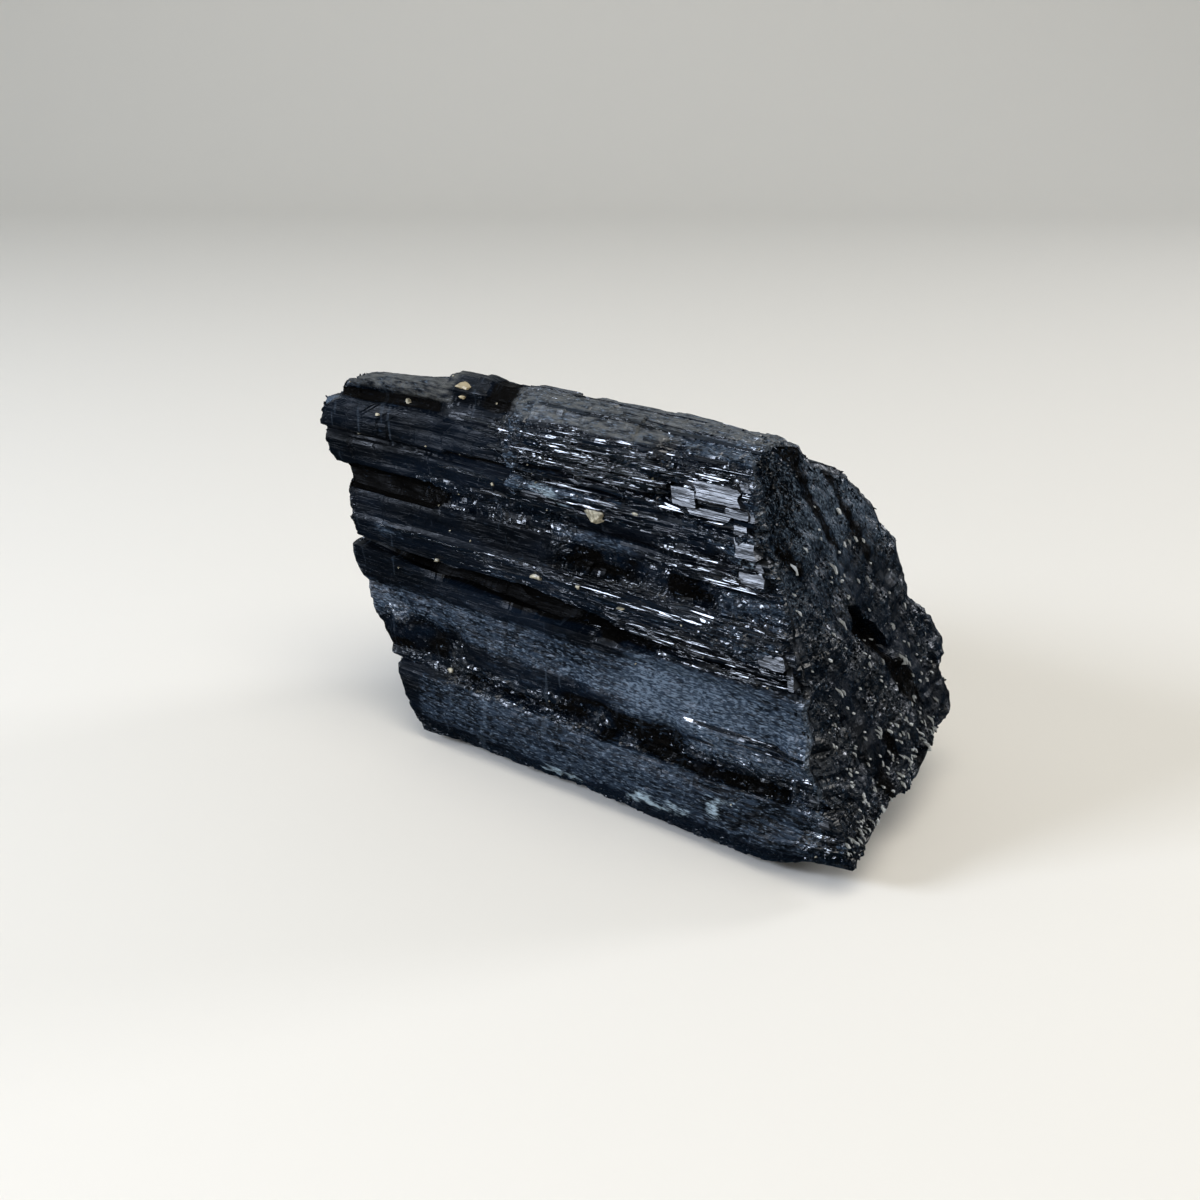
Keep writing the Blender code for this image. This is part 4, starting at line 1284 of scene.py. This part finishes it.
# feldspar and mica grains: cream and waxy, so they stay soft beside the glassy black
def paleGrainMaterial():
    material, tree, shader = newMaterial("creamFeldspar")
    shader.inputs["IOR"].default_value = grainFinish["ior"]
    shader.inputs["Roughness"].default_value = grainFinish["rough"]
    place = node(tree, "ShaderNodeTexCoord", output="Object")
    spots = node(tree, "ShaderNodeTexNoise", {"Vector": place, "Scale": grainFinish["spots"], "Detail": 3.0})
    share = node(tree, "ShaderNodeMapRange", {"Value": spots, "From Min": 0.4, "From Max": 0.6})
    tint = colour(grainFinish["shade"])
    for amount, name in (
        (share, "ivory"),
        (node(tree, "ShaderNodeAttribute", output="Fac", attribute_name="tan"), "tan"),
        (node(tree, "ShaderNodeAttribute", output="Fac", attribute_name="grey"), "grey"),
    ):
        over = colour(grainFinish[name])
        tint = node(tree, "ShaderNodeMix", {0: amount, 6: tint, 7: over}, 2, data_type="RGBA")
    tree.links.new(tint, shader.inputs["Base Color"])
    return material


# gives a piece its materials in the order of their numbers, and its body in the frame
def finishPiece(piece, *materials):
    for material in materials:
        piece.data.materials.append(material)
    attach(piece, "root")


satinBlack, glassyBlack, hollowShadeBlack = [tourmalineMaterial(kind) for kind in tourmalineFinish["specular"]]
finishPiece(stonePiece, satinBlack, glassyBlack, hollowShadeBlack)
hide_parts("tourmaline")
finishPiece(makeLaths(), glassyBlack)
finishPiece(makeBrightFlats(), glassyBlack)
finishPiece(makeGrains(), glassyBlack, satinBlack)
finishPiece(makePaleGrains(), paleGrainMaterial())
print("finishes done")


studio = {
    "floor": "#e2ddd3",
    # metres: half the width, where the floor starts to rise, the bend's radii out and up, the top
    "floorSize": (4.0, 0.9, 0.5, 0.5, 2.4),
    # camera in millimetres, and its turns in degrees about the vertical, up and about its own axis
    "cameraAt": (175.356, -236.944, 148.3),
    "cameraTurns": (38.27, 68.65, 0.30),
    "lens": 45.44,
    # the height that the lights aim at, in metres
    "aimHeight": 0.035,
    # colour of the room from straight down (0) over the horizon (0.5) to overhead (1)
    "world": ((0.0, "#1d2a38"), (0.47, "#2b3a49"), (0.6, "#b5b8bb"), (0.72, "#a9b2ba"), (1.0, "#8f99a3")),
    # place and size in metres, watts, tint
    "lights": (
        ("overheadSoft", (0.3, -0.2, 1.0), (0.8, 0.8), 7.0, "#fffaf2"),
        ("leftSoft", (-0.52, -0.82, 0.56), (0.34, 0.24), 9.5, "#dde9ff"),
        ("backSoft", (0.55, 0.95, 0.6), (0.3, 0.3), 4.0, "#f2f5ff"),
    ),
}


# a large floor that curves up into a backdrop far behind the stone and another behind the camera; the
# stone doesn't mirror it, or its black faces would go grey
def makeFloor():
    turn = math.radians(studio["cameraTurns"][0])
    away = np.array([-math.sin(turn), math.cos(turn)])
    side = np.array([math.cos(turn), math.sin(turn)])
    halfWidth, level, out, up, top = studio["floorSize"]
    angle = np.linspace(0.0, math.pi / 2, 24)
    reach = np.concatenate([level + out * np.sin(angle), [level + out]])
    rise = np.concatenate([up * (1.0 - np.cos(angle)), [top]])
    reach, rise = np.append(-reach[::-1], reach), np.append(rise[::-1], rise)
    across = np.linspace(-halfWidth, halfWidth, 5)
    flat = reach[:, None, None] * away + across[None, :, None] * side
    points = np.concatenate([flat, np.broadcast_to(rise[:, None, None], flat.shape[:2] + (1,))], axis=-1)
    index = np.arange(points.size // 3).reshape(points.shape[:2])
    floor = meshFrom("paleFloor", points.reshape(-1, 3), gridQuads(index))
    floor.data.shade_smooth()
    material, _, shader = newMaterial("mattPaper")
    shader.inputs["Base Color"].default_value = colour(studio["floor"])
    shader.inputs["Roughness"].default_value = 0.9
    floor.data.materials.append(material)
    floor.visible_glossy = False


# an area light that looks at the stone from a place in metres
def softLight(name, place, size, power, tint):
    lamp = bpy.data.lights.new(name, "AREA")
    lamp.shape = "RECTANGLE"
    lamp.size, lamp.size_y = size
    lamp.energy = power
    lamp.color = colour(tint)[:3]
    light = bpy.data.objects.new(name, lamp)
    bpy.context.scene.collection.objects.link(light)
    turn = (Vector((0.0, 0.0, studio["aimHeight"])) - Vector(place)).to_track_quat("-Z", "Y")
    light.matrix_world = Matrix.Translation(place) @ turn.to_matrix().to_4x4()


# floor, lights, the room's own light from below to above, and the camera at the photo's angle
def makeStudio():
    scene = bpy.context.scene
    makeFloor()
    scene.view_settings.view_transform = "Standard"
    for settings in studio["lights"]:
        softLight(*settings)
    world = bpy.data.worlds.new("paleRoom")
    world.use_nodes = True
    tree = world.node_tree
    background = tree.nodes["Background"]
    up = node(tree, "ShaderNodeSeparateXYZ", {0: node(tree, "ShaderNodeTexCoord")}, 2)
    share = node(tree, "ShaderNodeMapRange", {"Value": up, "From Min": -1.0, "From Max": 1.0})
    tints = node(tree, "ShaderNodeValToRGB", {"Fac": share})
    elements = tints.node.color_ramp.elements
    elements.remove(elements[1])
    for place, value in studio["world"]:
        element = elements[0] if place == 0.0 else elements.new(place)
        element.color = colour(value)
    tree.links.new(tints, background.inputs["Color"])
    scene.world = world
    lens = bpy.data.cameras.new("photoCamera")
    lens.lens = studio["lens"]
    lens.sensor_width = 36.0
    lens.clip_start = 0.01
    camera = bpy.data.objects.new("photoCamera", lens)
    scene.collection.objects.link(camera)
    around, tip, roll = [math.radians(value) for value in studio["cameraTurns"]]
    turn = Matrix.Rotation(around, 4, "Z") @ Matrix.Rotation(tip, 4, "X") @ Matrix.Rotation(roll, 4, "Z")
    camera.matrix_world = Matrix.Translation([value * 0.001 for value in studio["cameraAt"]]) @ turn
    scene.camera = camera


makeStudio()
print("studio done")
